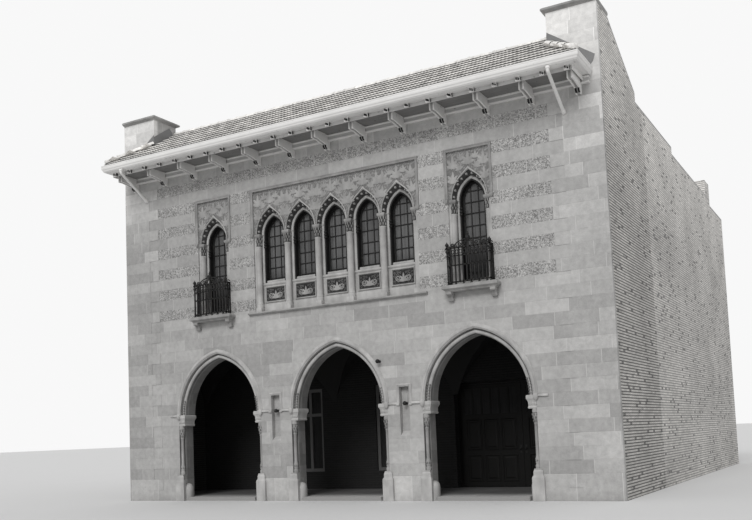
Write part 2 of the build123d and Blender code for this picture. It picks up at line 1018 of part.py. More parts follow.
with BuildPart() as door_frame:
    block((doorway_left, door_front, ground_floor_top), (opening_left, door_back, doorway_head))
    block((opening_right, door_front, ground_floor_top), (doorway_right, door_back, doorway_head))
    block(
        (opening_left, door_front, doorway_head - door_frame_width),
        (opening_right, door_back, doorway_head),
    )
write(door_frame, "door_frame")

with BuildPart() as hinge_pins:
    for hinge, side in ((hinge_left, 1), (hinge_right, -1)):
        for height in hinge_heights:
            with Locations((hinge, hinge_line, height)):
                Cylinder(pin_radius, knuckle_height + 2 * (arm_gap + arm_thickness))
            for way in (-1, 1):
                level = height + way * (knuckle_height / 2 + arm_gap + arm_thickness / 2)
                with Locations((hinge, hinge_line, level)):
                    Cylinder(arm_radius, arm_thickness)
                low, high = sorted((hinge - side * pin_radius, hinge - side * arm_length))
                block(
                    (low, porch_wall_back, level - arm_thickness / 2),
                    (high, hinge_line + pin_radius, level + arm_thickness / 2),
                )
write(hinge_pins, "hinge_pins")

leaf_bottom = ground_floor_top + door_threshold_gap
leaf_top = doorway_head - door_frame_width - door_clearance
door_middle = (opening_left + opening_right) / 2
leaves = (
    ("door_left", opening_left + door_clearance, door_middle - door_meeting_gap / 2, hinge_left, 1),
    ("door_right", door_middle + door_meeting_gap / 2, opening_right - door_clearance, hinge_right, -1),
)
for label, low, high, hinge, side in leaves:
    with BuildPart() as door_leaf:
        block((low, door_front, leaf_bottom), (high, door_back, leaf_top))
        light_pitch = (high - low - 2 * door_stile + door_light_bar) / door_lights
        for index in range(door_lights):
            start = low + door_stile + index * light_pitch
            end = start + light_pitch - door_light_bar
            top = door_light_bottom + door_light_height
            block(
                (start, door_front, door_light_bottom),
                (end, door_front + door_light_recess, top),
                Mode.SUBTRACT,
            )
            block(
                (start, door_back - door_light_recess, door_light_bottom),
                (end, door_back, top),
                Mode.SUBTRACT,
            )
        for height in hinge_heights:
            with Locations((hinge, hinge_line, height)):
                Cylinder(knuckle_radius, knuckle_height)
            start, end = sorted((hinge + side * door_clearance, hinge + side * strap_length))
            block(
                (start, door_back, height - knuckle_height / 2),
                (end, hinge_line, height + knuckle_height / 2),
            )
            with Locations((hinge, hinge_line, height)):
                Cylinder(pin_radius + running_clearance, knuckle_height, mode=Mode.SUBTRACT)
    write(door_leaf, label)

print(len(written), "pieces")
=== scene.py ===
import math
import random

import bpy
from mathutils import Matrix, Vector


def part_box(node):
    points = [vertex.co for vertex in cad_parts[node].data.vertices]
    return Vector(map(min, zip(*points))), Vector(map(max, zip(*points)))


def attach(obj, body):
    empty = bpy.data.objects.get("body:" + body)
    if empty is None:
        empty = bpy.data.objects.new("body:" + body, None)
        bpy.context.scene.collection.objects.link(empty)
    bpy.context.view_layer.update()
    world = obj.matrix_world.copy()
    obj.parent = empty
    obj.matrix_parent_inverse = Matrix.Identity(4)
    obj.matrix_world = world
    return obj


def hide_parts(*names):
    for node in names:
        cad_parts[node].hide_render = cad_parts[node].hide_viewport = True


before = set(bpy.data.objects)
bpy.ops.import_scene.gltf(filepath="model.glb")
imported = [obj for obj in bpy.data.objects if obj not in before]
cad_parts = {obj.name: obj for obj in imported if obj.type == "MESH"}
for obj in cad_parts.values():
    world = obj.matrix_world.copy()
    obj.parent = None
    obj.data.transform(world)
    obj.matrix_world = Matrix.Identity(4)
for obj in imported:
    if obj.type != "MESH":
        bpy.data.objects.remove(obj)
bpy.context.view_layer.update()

# metres; the origin is on the ground under the middle of the front, Y runs into the building
house = {
    "wallEnd": 7.2,
    "course": 0.302,  # height of one stone course
    "archSpacing": 3.86,
    "archOffset": 0.3175,  # how far an arch curve's centre lies past the middle line
    "springing": 2.4,
    "soffitRadius": 1.555,
    "orderRadius": 1.69,
    "orderDepth": 0.14,
    "jambHalf": 1.33,
    "nook": 0.11,
    "lightSpacing": 0.975,
    "lightHalf": 0.3,
    "lightRise": 0.46,
    "lightSpringing": 7.21,
    "sill": 5.87,
    "balconySill": 5.2,
    "groupHalf": 2.5,
    "sideCentre": 3.895,
    "sideHalf": 0.55,
    "screenBottom": 5.06,
    "screenTop": 8.39,
    "screenBack": 0.35,
    "spandrelFront": 0.04,
}
sides = (-1, 1)
archCentres = (-house["archSpacing"], 0, house["archSpacing"])
archSides = [(centre, side) for centre in archCentres for side in sides]
lightCentres = [house["lightSpacing"] * i for i in (-2, -1, 0, 1, 2)]
sideCentres = (-house["sideCentre"], house["sideCentre"])
windowGroups = [(0, house["groupHalf"])] + [(c, house["sideHalf"]) for c in sideCentres]
groupSides = [(centre, half, side) for centre, half in windowGroups for side in sides]
lights = [(c, house["sill"]) for c in lightCentres] + [(c, house["balconySill"]) for c in sideCentres]


def turns(count, sweep=2 * math.pi):  # angles from 0 to the sweep, both included
    return [sweep * i / count for i in range(count + 1)]


def ellipse(centre, across, high, count=12):
    return [(centre[0] + across * math.cos(a), centre[1] + high * math.sin(a)) for a in turns(count)]


def ball(radius, steps):  # profile for a lathe
    return [(radius * math.sin(a) + 1e-4, -radius * math.cos(a)) for a in turns(steps, math.pi)]


def spiral(centre, start, rounds, radius, end, steps=22):
    points = []
    for i in range(steps + 1):
        t = i / steps
        a = start + rounds * 2 * math.pi * t
        r = radius * (1 - t) + end * t
        points.append((centre[0] + r * math.cos(a), centre[1], centre[2] + r * math.sin(a)))
    return points


def between(centre, side, near, far):  # a span on one side of a middle line, its low end first
    return sorted((centre + side * near, centre + side * far))


def plan(x0, y0, x1, y1, z):  # a rectangle at one height
    return [(x0, y0, z), (x1, y0, z), (x1, y1, z), (x0, y1, z)]


def raised(levels, foot):
    return [(foot + up, out) for up, out in levels]


def heading(path, i):
    return Vector(path[min(i + 1, len(path) - 1)]) - Vector(path[max(i - 1, 0)])


class Form:
    def __init__(self):
        self.verts, self.faces = [], []

    def rings(self, rings, closed=True, capStart=False, capEnd=False):
        start, count = len(self.verts), len(rings[0])
        self.verts += [tuple(v) for ring in rings for v in ring]
        for row in range(len(rings) - 1):
            low = start + row * count
            high = low + count
            for i in range(count if closed else count - 1):
                j = (i + 1) % count
                self.faces.append((low + i, low + j, high + j, high + i))
        if capStart:
            self.faces.append([start + i for i in reversed(range(count))])
        if capEnd:
            self.faces.append([start + (len(rings) - 1) * count + i for i in range(count)])

    def solid(self, rings):
        self.rings(rings, capStart=True, capEnd=True)

    def box(self, low, high):
        (a, b, c), (d, e, f) = low, high
        self.solid([plan(a, b, d, e, z) for z in (c, f)])

    def stack(self, low, high, levels):  # a block whose plan steps out at each level
        (a, b), (c, d) = low, high
        self.solid([plan(a - out, b - out, c + out, d + out, z) for z, out in levels])

    def lathe(self, centre, profile, steps=16, stretch=(1, 1)):
        x, y, z = centre
        self.solid([[(x + stretch[0] * radius * math.cos(a), y + stretch[1] * radius * math.sin(a), z + up)
                     for a in turns(steps)[:-1]] for radius, up in profile])

    def prism(self, outline, low, high, axis="X"):  # outline is (Y, Z) along X, or (X, Z) along Y
        def place(pair, along):
            return (along, *pair) if axis == "X" else (pair[0], along, pair[1])
        self.solid([[place(p, along) for p in outline] for along in (low, high)])

    def tube(self, path, radius, steps=6):
        rings = []
        for i, point in enumerate(path):
            ahead = heading(path, i).normalized()
            side = (side - ahead * side.dot(ahead) if i else ahead.orthogonal()).normalized()
            other = ahead.cross(side)
            rings.append([Vector(point) + radius * (side * math.cos(a) + other * math.sin(a))
                          for a in turns(steps)[:-1]])
        self.solid(rings)

    def ribbon(self, path, wide, thick=0.012):  # a low leaf on the wall, pointed at its far end
        left, middle, right = [], [], []
        last = len(path) - 1
        for i, point in enumerate(path):
            ahead, here = heading(path, i), Vector(point)
            swell = math.sin(math.pi * (0.12 + 0.88 * i / last)) ** 0.6 if i < last else 0
            across = Vector((ahead.z, 0, -ahead.x)).normalized() * wide * swell
            left.append(here - across)
            middle.append(here + Vector((0, -thick, 0)))
            right.append(here + across)
        self.rings([left, middle, right], closed=False)

    def mould(self, path, section):  # section is (out from the path, Y), path is (X, Z)
        rings = []
        for i, point in enumerate(path):
            here = Vector(point)
            before = (here - Vector(path[i - 1])).normalized() if i else None
            after = (Vector(path[i + 1]) - here).normalized() if i < len(path) - 1 else None
            before, after = before or after, after or before
            normals = [Vector((-d.y, d.x)) for d in (before, after)]
            miter = (normals[0] + normals[1]).normalized()
            miter /= max(miter.dot(normals[0]), 0.3)
            rings.append([(here.x + miter.x * out, y, here.y + miter.y * out) for out, y in section])
        self.solid(rings)

    def piece(self, name, finish, slot, *nodes, body="root", smooth=0, bevel=0):
        mesh = bpy.data.meshes.new(name)
        mesh.from_pydata(self.verts, [], self.faces)
        mesh.update()
        obj = bpy.data.objects.new(name, mesh)
        bpy.context.scene.collection.objects.link(obj)
        mesh.materials.append(finish)
        bpy.context.view_layer.objects.active = obj
        obj.select_set(True)
        bpy.ops.object.mode_set(mode="EDIT")
        bpy.ops.mesh.select_all(action="SELECT")
        bpy.ops.mesh.normals_make_consistent(inside=False)
        bpy.ops.object.mode_set(mode="OBJECT")
        obj.select_set(False)
        if bevel:
            edge = obj.modifiers.new("worn edges", "BEVEL")
            edge.width = bevel
            edge.segments = 2
            edge.limit_method = "ANGLE"
            edge.harden_normals = True
        if smooth:
            mesh.shade_smooth()
            mesh.set_sharp_from_angle(angle=math.radians(smooth))
        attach(obj, body)
        if nodes:
            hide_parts(*nodes)


def archCurve(centre, radius, steps=20, springing=house["springing"], offset=house["archOffset"]):
    right = [(centre - offset + radius * math.cos(a), springing + radius * math.sin(a))
             for a in turns(steps, math.acos(offset / radius))]
    return [(2 * centre - x, z) for x, z in right] + right[-2::-1]


def pointRadius(half, rise):
    return (half * half + rise * rise) / (2 * half)


def pointedCurve(centre, half, rise, steps, tip=0):  # the tip is drawn up over the middle
    radius = pointRadius(half, rise)
    curve = archCurve(centre, radius, steps, house["lightSpringing"], radius - half)
    return [(x, z + tip * max(0, 1 - abs(x - centre) / (half * 0.45)) ** 2) for x, z in curve]


class Value:
    def __init__(self, tree, socket):
        self.tree = tree
        self.socket = socket

    def maths(self, operation, *others, first=None):
        node = self.tree.nodes.new("ShaderNodeMath")
        node.operation = operation
        for slot, term in zip(node.inputs, (self if first is None else first, *others)):
            if isinstance(term, Value):
                self.tree.links.new(term.socket, slot)
            else:
                slot.default_value = term
        return Value(self.tree, node.outputs[0])

    def __add__(self, other): return self.maths("ADD", other)
    def __sub__(self, other): return self.maths("SUBTRACT", other)
    def __mul__(self, other): return self.maths("MULTIPLY", other)
    def __truediv__(self, other): return self.maths("DIVIDE", other)
    def __lt__(self, other): return self.maths("LESS_THAN", other)
    def __gt__(self, other): return self.maths("GREATER_THAN", other)
    def __rsub__(self, other): return self.maths("SUBTRACT", self, first=other)
    def __rtruediv__(self, other): return self.maths("DIVIDE", self, first=other)
    __radd__ = __add__
    __rmul__ = __mul__

    def floor(self): return self.maths("FLOOR")
    def fract(self): return self.maths("FRACT")
    def size(self): return self.maths("ABSOLUTE")
    def least(self, other): return self.maths("MINIMUM", other)
    def most(self, other): return self.maths("MAXIMUM", other)
    def wave(self): return self.maths("SINE")
    def toEdge(self): return 0.5 - (self.fract() - 0.5).size()  # how far inside its cell, 0 at the edge


def grey(level, warmth=0.012):
    return (level * (1 + warmth), level, level * (1 - 1.5 * warmth), 1)


class Nodes:  # adds nodes to one tree
    def __init__(self, tree):
        self.tree = tree

    def node(self, kind, settings=None, inputs=None, output=0):
        node = self.tree.nodes.new(kind)
        for setting, wanted in (settings or {}).items():
            if setting == "stops":
                ramp = node.color_ramp
                while len(ramp.elements) < len(wanted):
                    ramp.elements.new(0.5)
                for element, (position, colour) in zip(ramp.elements, wanted):
                    element.position = position
                    element.color = colour
            else:
                setattr(node, setting, wanted)
        for socket, term in (inputs or {}).items():
            if isinstance(term, Value):
                self.tree.links.new(term.socket, node.inputs[socket])
            else:
                node.inputs[socket].default_value = term
        return Value(self.tree, node.outputs[output])

    def mix(self, factor, first, second):
        return self.node("ShaderNodeMix", {"data_type": "RGBA"}, {0: factor, 6: first, 7: second}, 2)


class Finish(Nodes):
    def __init__(self, name, roughness=0.8, **constants):
        self.material = bpy.data.materials.new(name)
        self.material.use_nodes = True
        super().__init__(self.material.node_tree)
        self.tree.nodes.clear()
        output = self.tree.nodes.new("ShaderNodeOutputMaterial")
        self.shader = self.tree.nodes.new("ShaderNodeBsdfPrincipled")
        self.tree.links.new(self.shader.outputs[0], output.inputs["Surface"])
        self.shader.inputs["Roughness"].default_value = roughness
        for socket, number in constants.items():
            self.shader.inputs[socket.replace("_", " ")].default_value = number
        self.place = self.node("ShaderNodeTexCoord", output="Object")
        self.x, self.y, self.z = self.split(self.place)

    def split(self, vector):
        node = self.tree.nodes.new("ShaderNodeSeparateXYZ")
        self.tree.links.new(vector.socket, node.inputs[0])
        return [Value(self.tree, socket) for socket in node.outputs]

    def join(self, x, y, z=0):
        return self.node("ShaderNodeCombineXYZ", inputs={"X": x, "Y": y, "Z": z})

    def noise(self, scale, detail=4, where=None, roughness=0.5, distortion=0):
        return self.node("ShaderNodeTexNoise", inputs={
            "Vector": where or self.place, "Scale": scale, "Detail": detail,
            "Roughness": roughness, "Distortion": distortion}, output="Fac")

    def chance(self, where):  # one random number for each whole cell
        return self.node("ShaderNodeTexWhiteNoise", {"noise_dimensions": "3D"}, {"Vector": where}, "Value")

    def cells(self, scale):
        inputs = {"Vector": self.place, "Scale": scale}
        return self.node("ShaderNodeTexVoronoi", {"feature": "F1"}, inputs, "Distance")

    def remap(self, value, low, high, toLow=0, toHigh=1):
        return self.node("ShaderNodeMapRange", {"clamp": True}, {
            "Value": value, "From Min": low, "From Max": high, "To Min": toLow, "To Max": toHigh})

    def ramp(self, value, *stops):
        return self.node("ShaderNodeValToRGB", {"stops": stops}, {"Fac": value}, "Color")

    def shade(self, colour, factor):  # darkens or lightens a colour by a value
        grey = self.join(factor, factor, factor)
        return self.node("ShaderNodeVectorMath", {"operation": "MULTIPLY"}, {0: colour, 1: grey})

    def fade(self, colour, value, low, high, atLow, atHigh):  # the same, as a value goes from low to high
        return self.shade(colour, self.remap(value, low, high, atLow, atHigh))

    def mottle(self, colour, scale, detail, dark, pale, low=0.3, high=0.7, where=None, distortion=0):
        clouds = self.noise(scale, detail, where, distortion=distortion)
        return self.fade(colour, clouds, low, high, dark, pale)

    def blend(self, value, low, high, dark, pale, warmth=0.012):  # from one grey to another
        return self.mix(self.remap(value, low, high), grey(dark, warmth), grey(pale, warmth))

    def finish(self, colour, bump=None, strength=0.3, distance=0.01, roughness=None):
        self.link(colour, "Base Color")
        if roughness is not None:
            self.link(roughness, "Roughness")
        if bump is not None:
            heights = {"Height": bump, "Strength": strength, "Distance": distance}
            self.link(self.node("ShaderNodeBump", inputs=heights, output="Normal"), "Normal")
        return self.material

    def link(self, value, socket):
        self.tree.links.new(value.socket, self.shader.inputs[socket])

    def masonry(self, course, length, joint, ashlarBond=False):
        # rows and blocks counted along X + Y, which suits walls that face either way
        row = self.z / course
        if ashlarBond:  # the lowest course is twice as high
            row = (self.z.most(2 * course) + self.z.least(2 * course) * 0.5 - course) / course
        shift = self.chance(self.join(row.floor(), 7)) if ashlarBond else (row.floor() * 0.5).fract()
        along = (self.x + self.y) / length + shift
        block = self.chance(self.join(along.floor(), row.floor()))
        upright = self.remap(along.toEdge() * length, joint * 0.4, joint)
        gap = upright.least(self.remap(row.toEdge() * course, joint * 0.4, joint))
        return block, gap, upright


ashlar = {
    "pale": 0.43, "dark": 0.285, "blockLength": 1.02, "joint": 0.008, "jointTone": 0.5,
    "bandStart": 5.134, "bandEnd": 9.1, "bandPale": 0.47, "bandDark": 0.15, "bandFleck": 24,
    "pitTone": 0.35, "soot": 0.95, "leftShadeTone": 0.93, "rightLightTone": 1.06, "baseTone": 1.14,
    "revealShadeTone": 0.55, "revealReach": 6.2, "upperLight": (8, 9.4, 1, 1.25),
}


def makeAshlar(name, banded, contrast, upperLight=ashlar["upperLight"]):  # upperLight: painted light, paler from one height to another
    f = Finish(name, roughness=0.86)
    course, joint = house["course"], grey(ashlar["jointTone"])
    block, gap, upright = f.masonry(course, ashlar["blockLength"], ashlar["joint"], True)
    middle = (ashlar["pale"] + ashlar["dark"]) / 2
    spread = (ashlar["pale"] - ashlar["dark"]) / 2 * contrast
    tone = f.ramp(block, (0, grey(middle - spread)), (0.45, grey(middle)),
                  (0.8, grey(middle + 0.55 * spread)), (1, grey(middle + spread)))
    tone = f.mottle(tone, 0.9, 5, 0.9, 1.07)
    tone = f.mottle(tone, 8, 5, 0.9, 1.08, 0.32, 0.68, distortion=0.4)
    tone = f.mottle(tone, 55, 3, 0.9, 1.08, 0.25, 0.75)
    tone = f.mix(upright, joint, tone)
    tone = f.fade(tone, gap, 0, 1, 0.96, 1)
    height = gap * 0.4 + f.noise(70, 3) * 0.25
    if banded:  # every other course is carved
        rough = f.remap(f.noise(ashlar["bandFleck"], 5, roughness=0.7, distortion=1.4), 0.43, 0.57)
        ragged = f.z + (f.noise(16, 3) - 0.5) * 0.045
        step = ((ragged - ashlar["bandStart"]) / (2 * course)).fract()
        band = (step < 0.5) * (f.z > ashlar["bandStart"]) * (f.z < ashlar["bandEnd"])
        bandTone = f.mix(rough, grey(ashlar["bandDark"]), grey(ashlar["bandPale"]))
        bandTone = f.mottle(bandTone, 1.7, 3, 0.86, 1.08, 0.35, 0.65)
        tone = f.mix(band, tone, f.mix(upright, joint, bandTone))
        height = height + band * rough * 0.9
    pits = f.remap(f.cells(2.6), 0.018, 0.034).most(f.remap(f.noise(1.1, 2), 0.5, 0.54, 1, 0))
    tone = f.fade(tone, pits, 0, 1, ashlar["pitTone"], 1)
    tone = f.mottle(tone, 1.3, 4, ashlar["soot"], 1, 0.35, 0.62, f.join(f.x * 4, f.y * 4, f.z * 0.35))
    tone = f.fade(tone, f.z + f.noise(2.5) * 0.25, 0.1, 0.35, 0.8, 1)
    tone = f.shade(tone, 1 + (f.z < 2 * course) * (ashlar["baseTone"] - 1))
    # painted shade: the arches' undersides and the other faces set back behind the front are darkened
    shadedReveal = f.remap(f.y, 0.12, 0.2) * (f.x.size() < ashlar["revealReach"])
    tone = f.shade(tone, 1 - shadedReveal * (1 - ashlar["revealShadeTone"]))
    # painted light: paler towards the top, against the shade under the eaves
    tone = f.fade(tone, f.z + (f.noise(0.8) - 0.5) * 0.5, *upperLight)
    # painted light: the stone is paler towards the right end and darker towards the left, as the light falls
    tone = f.fade(tone, f.x, -house["wallEnd"], house["wallEnd"], ashlar["leftShadeTone"], ashlar["rightLightTone"])
    return f.finish(tone, height, 0.45, 0.012, f.remap(f.noise(9), 0.3, 0.7, 0.8, 0.93))


def makeDressed(name, pale=0.45, dark=0.34):
    f = Finish(name, roughness=0.84)
    grain = f.noise(60, 3)
    tone = f.blend(f.noise(2.4, 5), 0.35, 0.65, dark, pale)
    tone = f.fade(tone, grain, 0.25, 0.75, 0.94, 1.05)
    tone = f.mottle(tone, 7, 5, 0.84, 1, 0.38, 0.6, f.join(f.x, f.y, f.z * 0.3))  # streaks of soot
    return f.finish(tone, grain * 0.5 + f.noise(14) * 0.5, 0.35, 0.008)


def makeLeafGround(name, dark=0.16, pale=0.26):  # painted light and shade for low relief: a dark ground between carved leaves, with paler ripples
    f = Finish(name, roughness=0.9)
    swirl = (f.x * 31 + (f.z * 17).wave() * 4).wave() * (f.z * 29 + (f.x * 19).wave() * 3.5).wave()
    ripple = f.remap(swirl + (f.noise(22, 5, distortion=1.5) - 0.5) * 1.6, -0.2, 0.75)
    tone = f.mottle(f.mix(ripple, grey(dark), grey(pale)), 2.2, 4, 0.86, 1.08, 0.35, 0.65)
    return f.finish(tone, ripple * 0.6 + f.noise(60) * 0.3, 0.4, 0.008)


brick = {
    "course": 0.0677, "length": 0.214, "joint": 0.018, "upright": 0.4, "bedShadow": 0.035, "rearBedShadow": 0.17,
    "faces": (0.17, 0.43, 0.58), "darkShare": 0.035, "rearStart": 4.1, "rearTone": 1.16,
    "topStart": 6.5, "topEnd": 10.2, "topTone": 1.42,
    "rooms": (7.15, 0.3, 8.9), "roomShadeTone": 0.04,  # unlit rooms: half width, front and top
}


def makeBrick(name, level=1, inside=False):
    f = Finish(name, roughness=0.9)
    block, gap, upright = f.masonry(brick["course"], brick["length"], brick["joint"])
    dark, even, pale = [grey(tone * level, 0.03) for tone in brick["faces"]]
    share, start = brick["darkShare"], brick["rearStart"]
    face = f.ramp(block, (0, dark), (share, dark), (2 * share, even), (1, pale))
    face = f.mottle(face, 30, 4, 0.88, 1.1)
    # the bed joints are washed out, and painted shadow makes them dark, less so at the rear and high up; the
    # upright ones still full; the rear part is of another age
    rear = f.remap(f.y + f.noise(3) * 0.1, start, start + 0.03)
    top = f.remap(f.z, brick["topStart"], brick["topEnd"])
    bedShadow = f.mix(rear.most(top), grey(brick["bedShadow"] * level), grey(brick["rearBedShadow"] * level))
    tone = f.mix(gap, f.mix(upright, grey(brick["upright"] * level), bedShadow), face)
    tone = f.mottle(tone, 0.55, 4, 0.86, 1.1, 0.35, 0.65)
    tone = f.fade(tone, rear, 0, 1, 1, brick["rearTone"])
    tone = f.fade(tone, top, 0, 1, 1, brick["topTone"])
    # painted shade: the brick facing the unlit rooms is made nearly black
    if inside:
        half, front, ceiling = brick["rooms"]
        within = (f.x.size() < half) * (f.z < ceiling) * (f.y > front)
        tone = f.shade(tone, 1 - within * (1 - brick["roomShadeTone"]))
    return f.finish(tone, gap + f.noise(45) * 0.3, 0.5, 0.008)


def makePaint(name, level, weather=0.5, roughness=0.5):
    f = Finish(name, roughness=roughness)
    cloud = f.noise(3, 5)
    grain = f.noise(4, 4, f.join(f.x * 0.6, f.y * 8, f.z * 14))
    tone = f.blend(cloud, 0.3, 0.7, level * 0.92, level)
    tone = f.fade(tone, grain, 0.35, 0.65, 1 - 0.12 * weather, 1)
    bare = f.remap(f.noise(11, 6), 0.66, 0.7) * weather
    tone = f.mix(bare, tone, grey(level * 0.45))
    dull = f.remap(cloud, 0.3, 0.7, roughness - 0.06, roughness + 0.12)
    return f.finish(tone, grain * 0.6 + cloud * 0.2, 0.2, 0.004, dull)


def makeIron(name, level=0.012):
    f = Finish(name, roughness=0.6, Specular_IOR_Level=0.25)
    rust = f.remap(f.noise(16, 5), 0.55, 0.75)
    tone = f.mix(rust, grey(level), grey(level * 2.6, 0.09))
    return f.finish(tone, f.noise(90), 0.25, 0.002, f.remap(f.noise(20), 0.3, 0.7, 0.52, 0.72))


tiling = {"wave": 0.0965, "rise": 0.337, "lift": 0.0125, "gap": 0.02, "thick": 0.018,
          "flatten": 0.25, "steps": 7, "loose": 0.002}


def makeTile(name, low=0.6, high=0.88):
    f = Finish(name, roughness=0.82)
    cell = f.join((f.x / (2 * tiling["wave"])).floor(), (f.y / (tiling["rise"] * 0.85)).floor())
    tone = f.mottle(f.mix(f.chance(cell), grey(low, 0.02), grey(high, 0.02)), 12, 5, 0.8, 1.08)
    lichen = f.remap(f.noise(5, 6), 0.6, 0.68) * 0.25
    return f.finish(f.mix(lichen, tone, grey(low * 0.6)), f.noise(50), 0.3, 0.004)


def makeFelt(name, dark=0.1, pale=0.17, lap=0.9):
    f = Finish(name, roughness=0.9)
    seam = f.remap((f.y / lap).fract(), 0, 0.02)
    tone = f.mottle(f.blend(f.noise(1.2, 5), 0.3, 0.7, dark, pale), 120, 2, 0.8, 1.15)
    tone = f.fade(tone, seam, 0, 1, 0.55, 1)
    return f.finish(tone, f.noise(150) + seam * 0.6, 0.3, 0.004)


def makePaving(name, dark=0.17, pale=0.23, slab=0.9):
    f = Finish(name, roughness=0.85)
    along, deep = f.x / slab, f.y / slab
    gap = f.remap(along.toEdge().least(deep.toEdge()) * slab, 0.004, 0.009)
    tone = f.mix(f.chance(f.join(along.floor(), deep.floor())), grey(dark), grey(pale))
    tone = f.mottle(tone, 3, 6, 0.86, 1.08)
    tone = f.mix(gap, grey(0.12), tone)
    tone = f.fade(tone, f.y + f.noise(2) * 0.2, 0.1, 1, 2.1, 1)  # painted light, paler at the arches
    tone = f.fade(tone, f.y + f.noise(2) * 0.3, 0.6, 1.4, 1, 0.4)  # and painted shade, darker further inside
    return f.finish(tone, gap + f.noise(60) * 0.3, 0.35, 0.006)


def makeTimber(name, level=0.3, width=0.14):
    f = Finish(name, roughness=0.6)
    board = f.x / width
    gap = f.remap(board.toEdge() * width, 0.001, 0.003)
    grain = f.noise(3, 6, f.join(f.x * 18, f.y * 0.9, f.z * 18), distortion=0.6)
    tone = f.blend(grain, 0.3, 0.7, level * 0.7, level, 0.05)
    tone = f.fade(tone, f.chance(f.join(board.floor(), 3)), 0, 1, 0.85, 1.1)
    return f.finish(f.mix(gap, grey(level * 0.3, 0.05), tone), gap + grain * 0.3, 0.3, 0.003)


def makeDoorWood(name, level=0.003):
    f = Finish(name, roughness=0.55, Specular_IOR_Level=0.2)
    grain = f.noise(3, 6, f.join(f.x * 20, f.y * 20, f.z * 0.9), distortion=0.5)
    tone = f.blend(grain, 0.3, 0.7, level * 0.7, level * 1.3, 0.08)
    tone = f.mottle(tone, 2.2, 4, 0.85, 1.15, 0.35, 0.65)
    return f.finish(tone, grain, 0.25, 0.002, f.remap(grain, 0.3, 0.7, 0.5, 0.65))


def makePlaster(name, level=0.008):
    f = Finish(name, roughness=0.92)
    tone = f.blend(f.noise(1.1, 6), 0.3, 0.7, level * 0.85, level)
    stain = f.remap(f.noise(0.7, 5, distortion=0.8), 0.58, 0.7)
    return f.finish(f.mix(stain * 0.35, tone, grey(level * 0.6)), f.noise(35, 5), 0.25, 0.006)


def makeGlass(name, level=0.1):
    f = Finish(name, roughness=0.12, Alpha=0.95, Specular_IOR_Level=0.3)
    folds = f.noise(1, 3, f.join(f.x * 26, f.y * 26, f.z * 0.8))  # curtains that show through
    tone = f.blend(folds, 0.3, 0.7, level * 0.7, level * 1.2, 0)
    tone = f.mottle(tone, 1.3, 2, 0.8, 1.15, 0.35, 0.65)
    tone = f.fade(tone, f.z, 5.6, 6.2, 0.2, 1)  # but not behind the lowest panes
    dusty = (f.z < 4) * 0.95  # the panes within reach
    return f.finish(tone, f.noise(3), 0.05, 0.01, f.remap(f.noise(4, 5), 0.4, 0.8, 0.1, 0.3).most(dusty))


def makeLead(name, level=0.17):
    f = Finish(name, roughness=0.55, Metallic=0.4)
    cloud = f.noise(2.5, 5)
    tone = f.blend(cloud, 0.3, 0.7, level * 0.75, level * 1.15, 0)
    return f.finish(tone, f.noise(9, 3), 0.15, 0.01, f.remap(cloud, 0.3, 0.7, 0.45, 0.65))


bandedStone = makeAshlar("banded_ashlar", True, 0.6)
# painted light: the plain stone and the end piers are made paler towards the top, the piers more
plainStone = makeAshlar("plain_ashlar", False, 0.9, (6.8, 9, 1, 1.48))
pierStone = makeAshlar("pier_ashlar_painted_light", False, 0.6, (9.2, 10.7, 1.25, 1.95))
dressedStone = makeDressed("dressed_stone")
carvedStone = makeDressed("carved_stone", 0.3, 0.19)
paleCarving = makeDressed("pale_carving", 0.36, 0.26)
shadedLeafGround = makeLeafGround("leaf_ground_painted_shade")
shadedHollowStone = makeDressed("hollow_painted_shade", 0.07, 0.035)
weatheredAndShadedStone = makeDressed("weathered_and_shaded_stone", 0.34, 0.23)
shadedPanelGround = makeDressed("panel_ground_painted_shade", 0.02, 0.009)
darkCarvingAndShade = makeDressed("dark_carving_and_painted_shade", 0.18, 0.11)
oldBrick = makeBrick("side_brick", inside=True)
rearBrick = makeBrick("rear_brick", 0.9)
# painted shade: the brick inside the porch is made nearly black
shadedPorchBrick = makeBrick("porch_brick_painted_shade", 0.012)
whitePaint = makePaint("white_paint", 0.76)
fasciaPaint = makePaint("fascia_paint", 0.52, 0.8)
dullShadePaint = makePaint("dull_paint_painted_shade", 0.36, 1, 0.7)
soffitPaint = makePaint("soffit_paint", 0.22, 1.6, 0.8)
gutterPaint = makePaint("gutter_paint", 0.74, 0.25, 0.5)
windowPaint = makePaint("window_paint", 0.3, 0.3, 0.45)
# painted shade: a much darker copy of the window paint, for the windows inside the porch
shadedWindowPaint = makePaint("porch_window_paint_painted_shade", 0.08, 0.3, 0.6)
blackIron = makeIron("black_iron")
darkSteelAndShade = makeIron("dark_steel_and_painted_shade", 0.01)
clayTile = makeTile("clay_tile")
tileShadow = makeTile("tile_painted_shadow", 0.05, 0.09)
flashing = makeLead("lead_flashing")
roofFelt = makeFelt("roof_felt")
paving = makePaving("porch_paving")
boardFloor = makeTimber("floor_boards")
# painted shade: the doors in the porch are made nearly black by the wood's default level
shadedDoorWood = makeDoorWood("door_wood_painted_shade")
# painted shade: by its default level the vaults' plaster in the porch is nearly black
shadedVaultPlaster = makePlaster("vault_plaster_painted_shade")
paneGlass = makeGlass("window_pane")
print("materials made")


def dress(finish, *nodes):
    for node in nodes:
        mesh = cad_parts[node].data
        mesh.materials.clear()
        mesh.materials.append(finish)


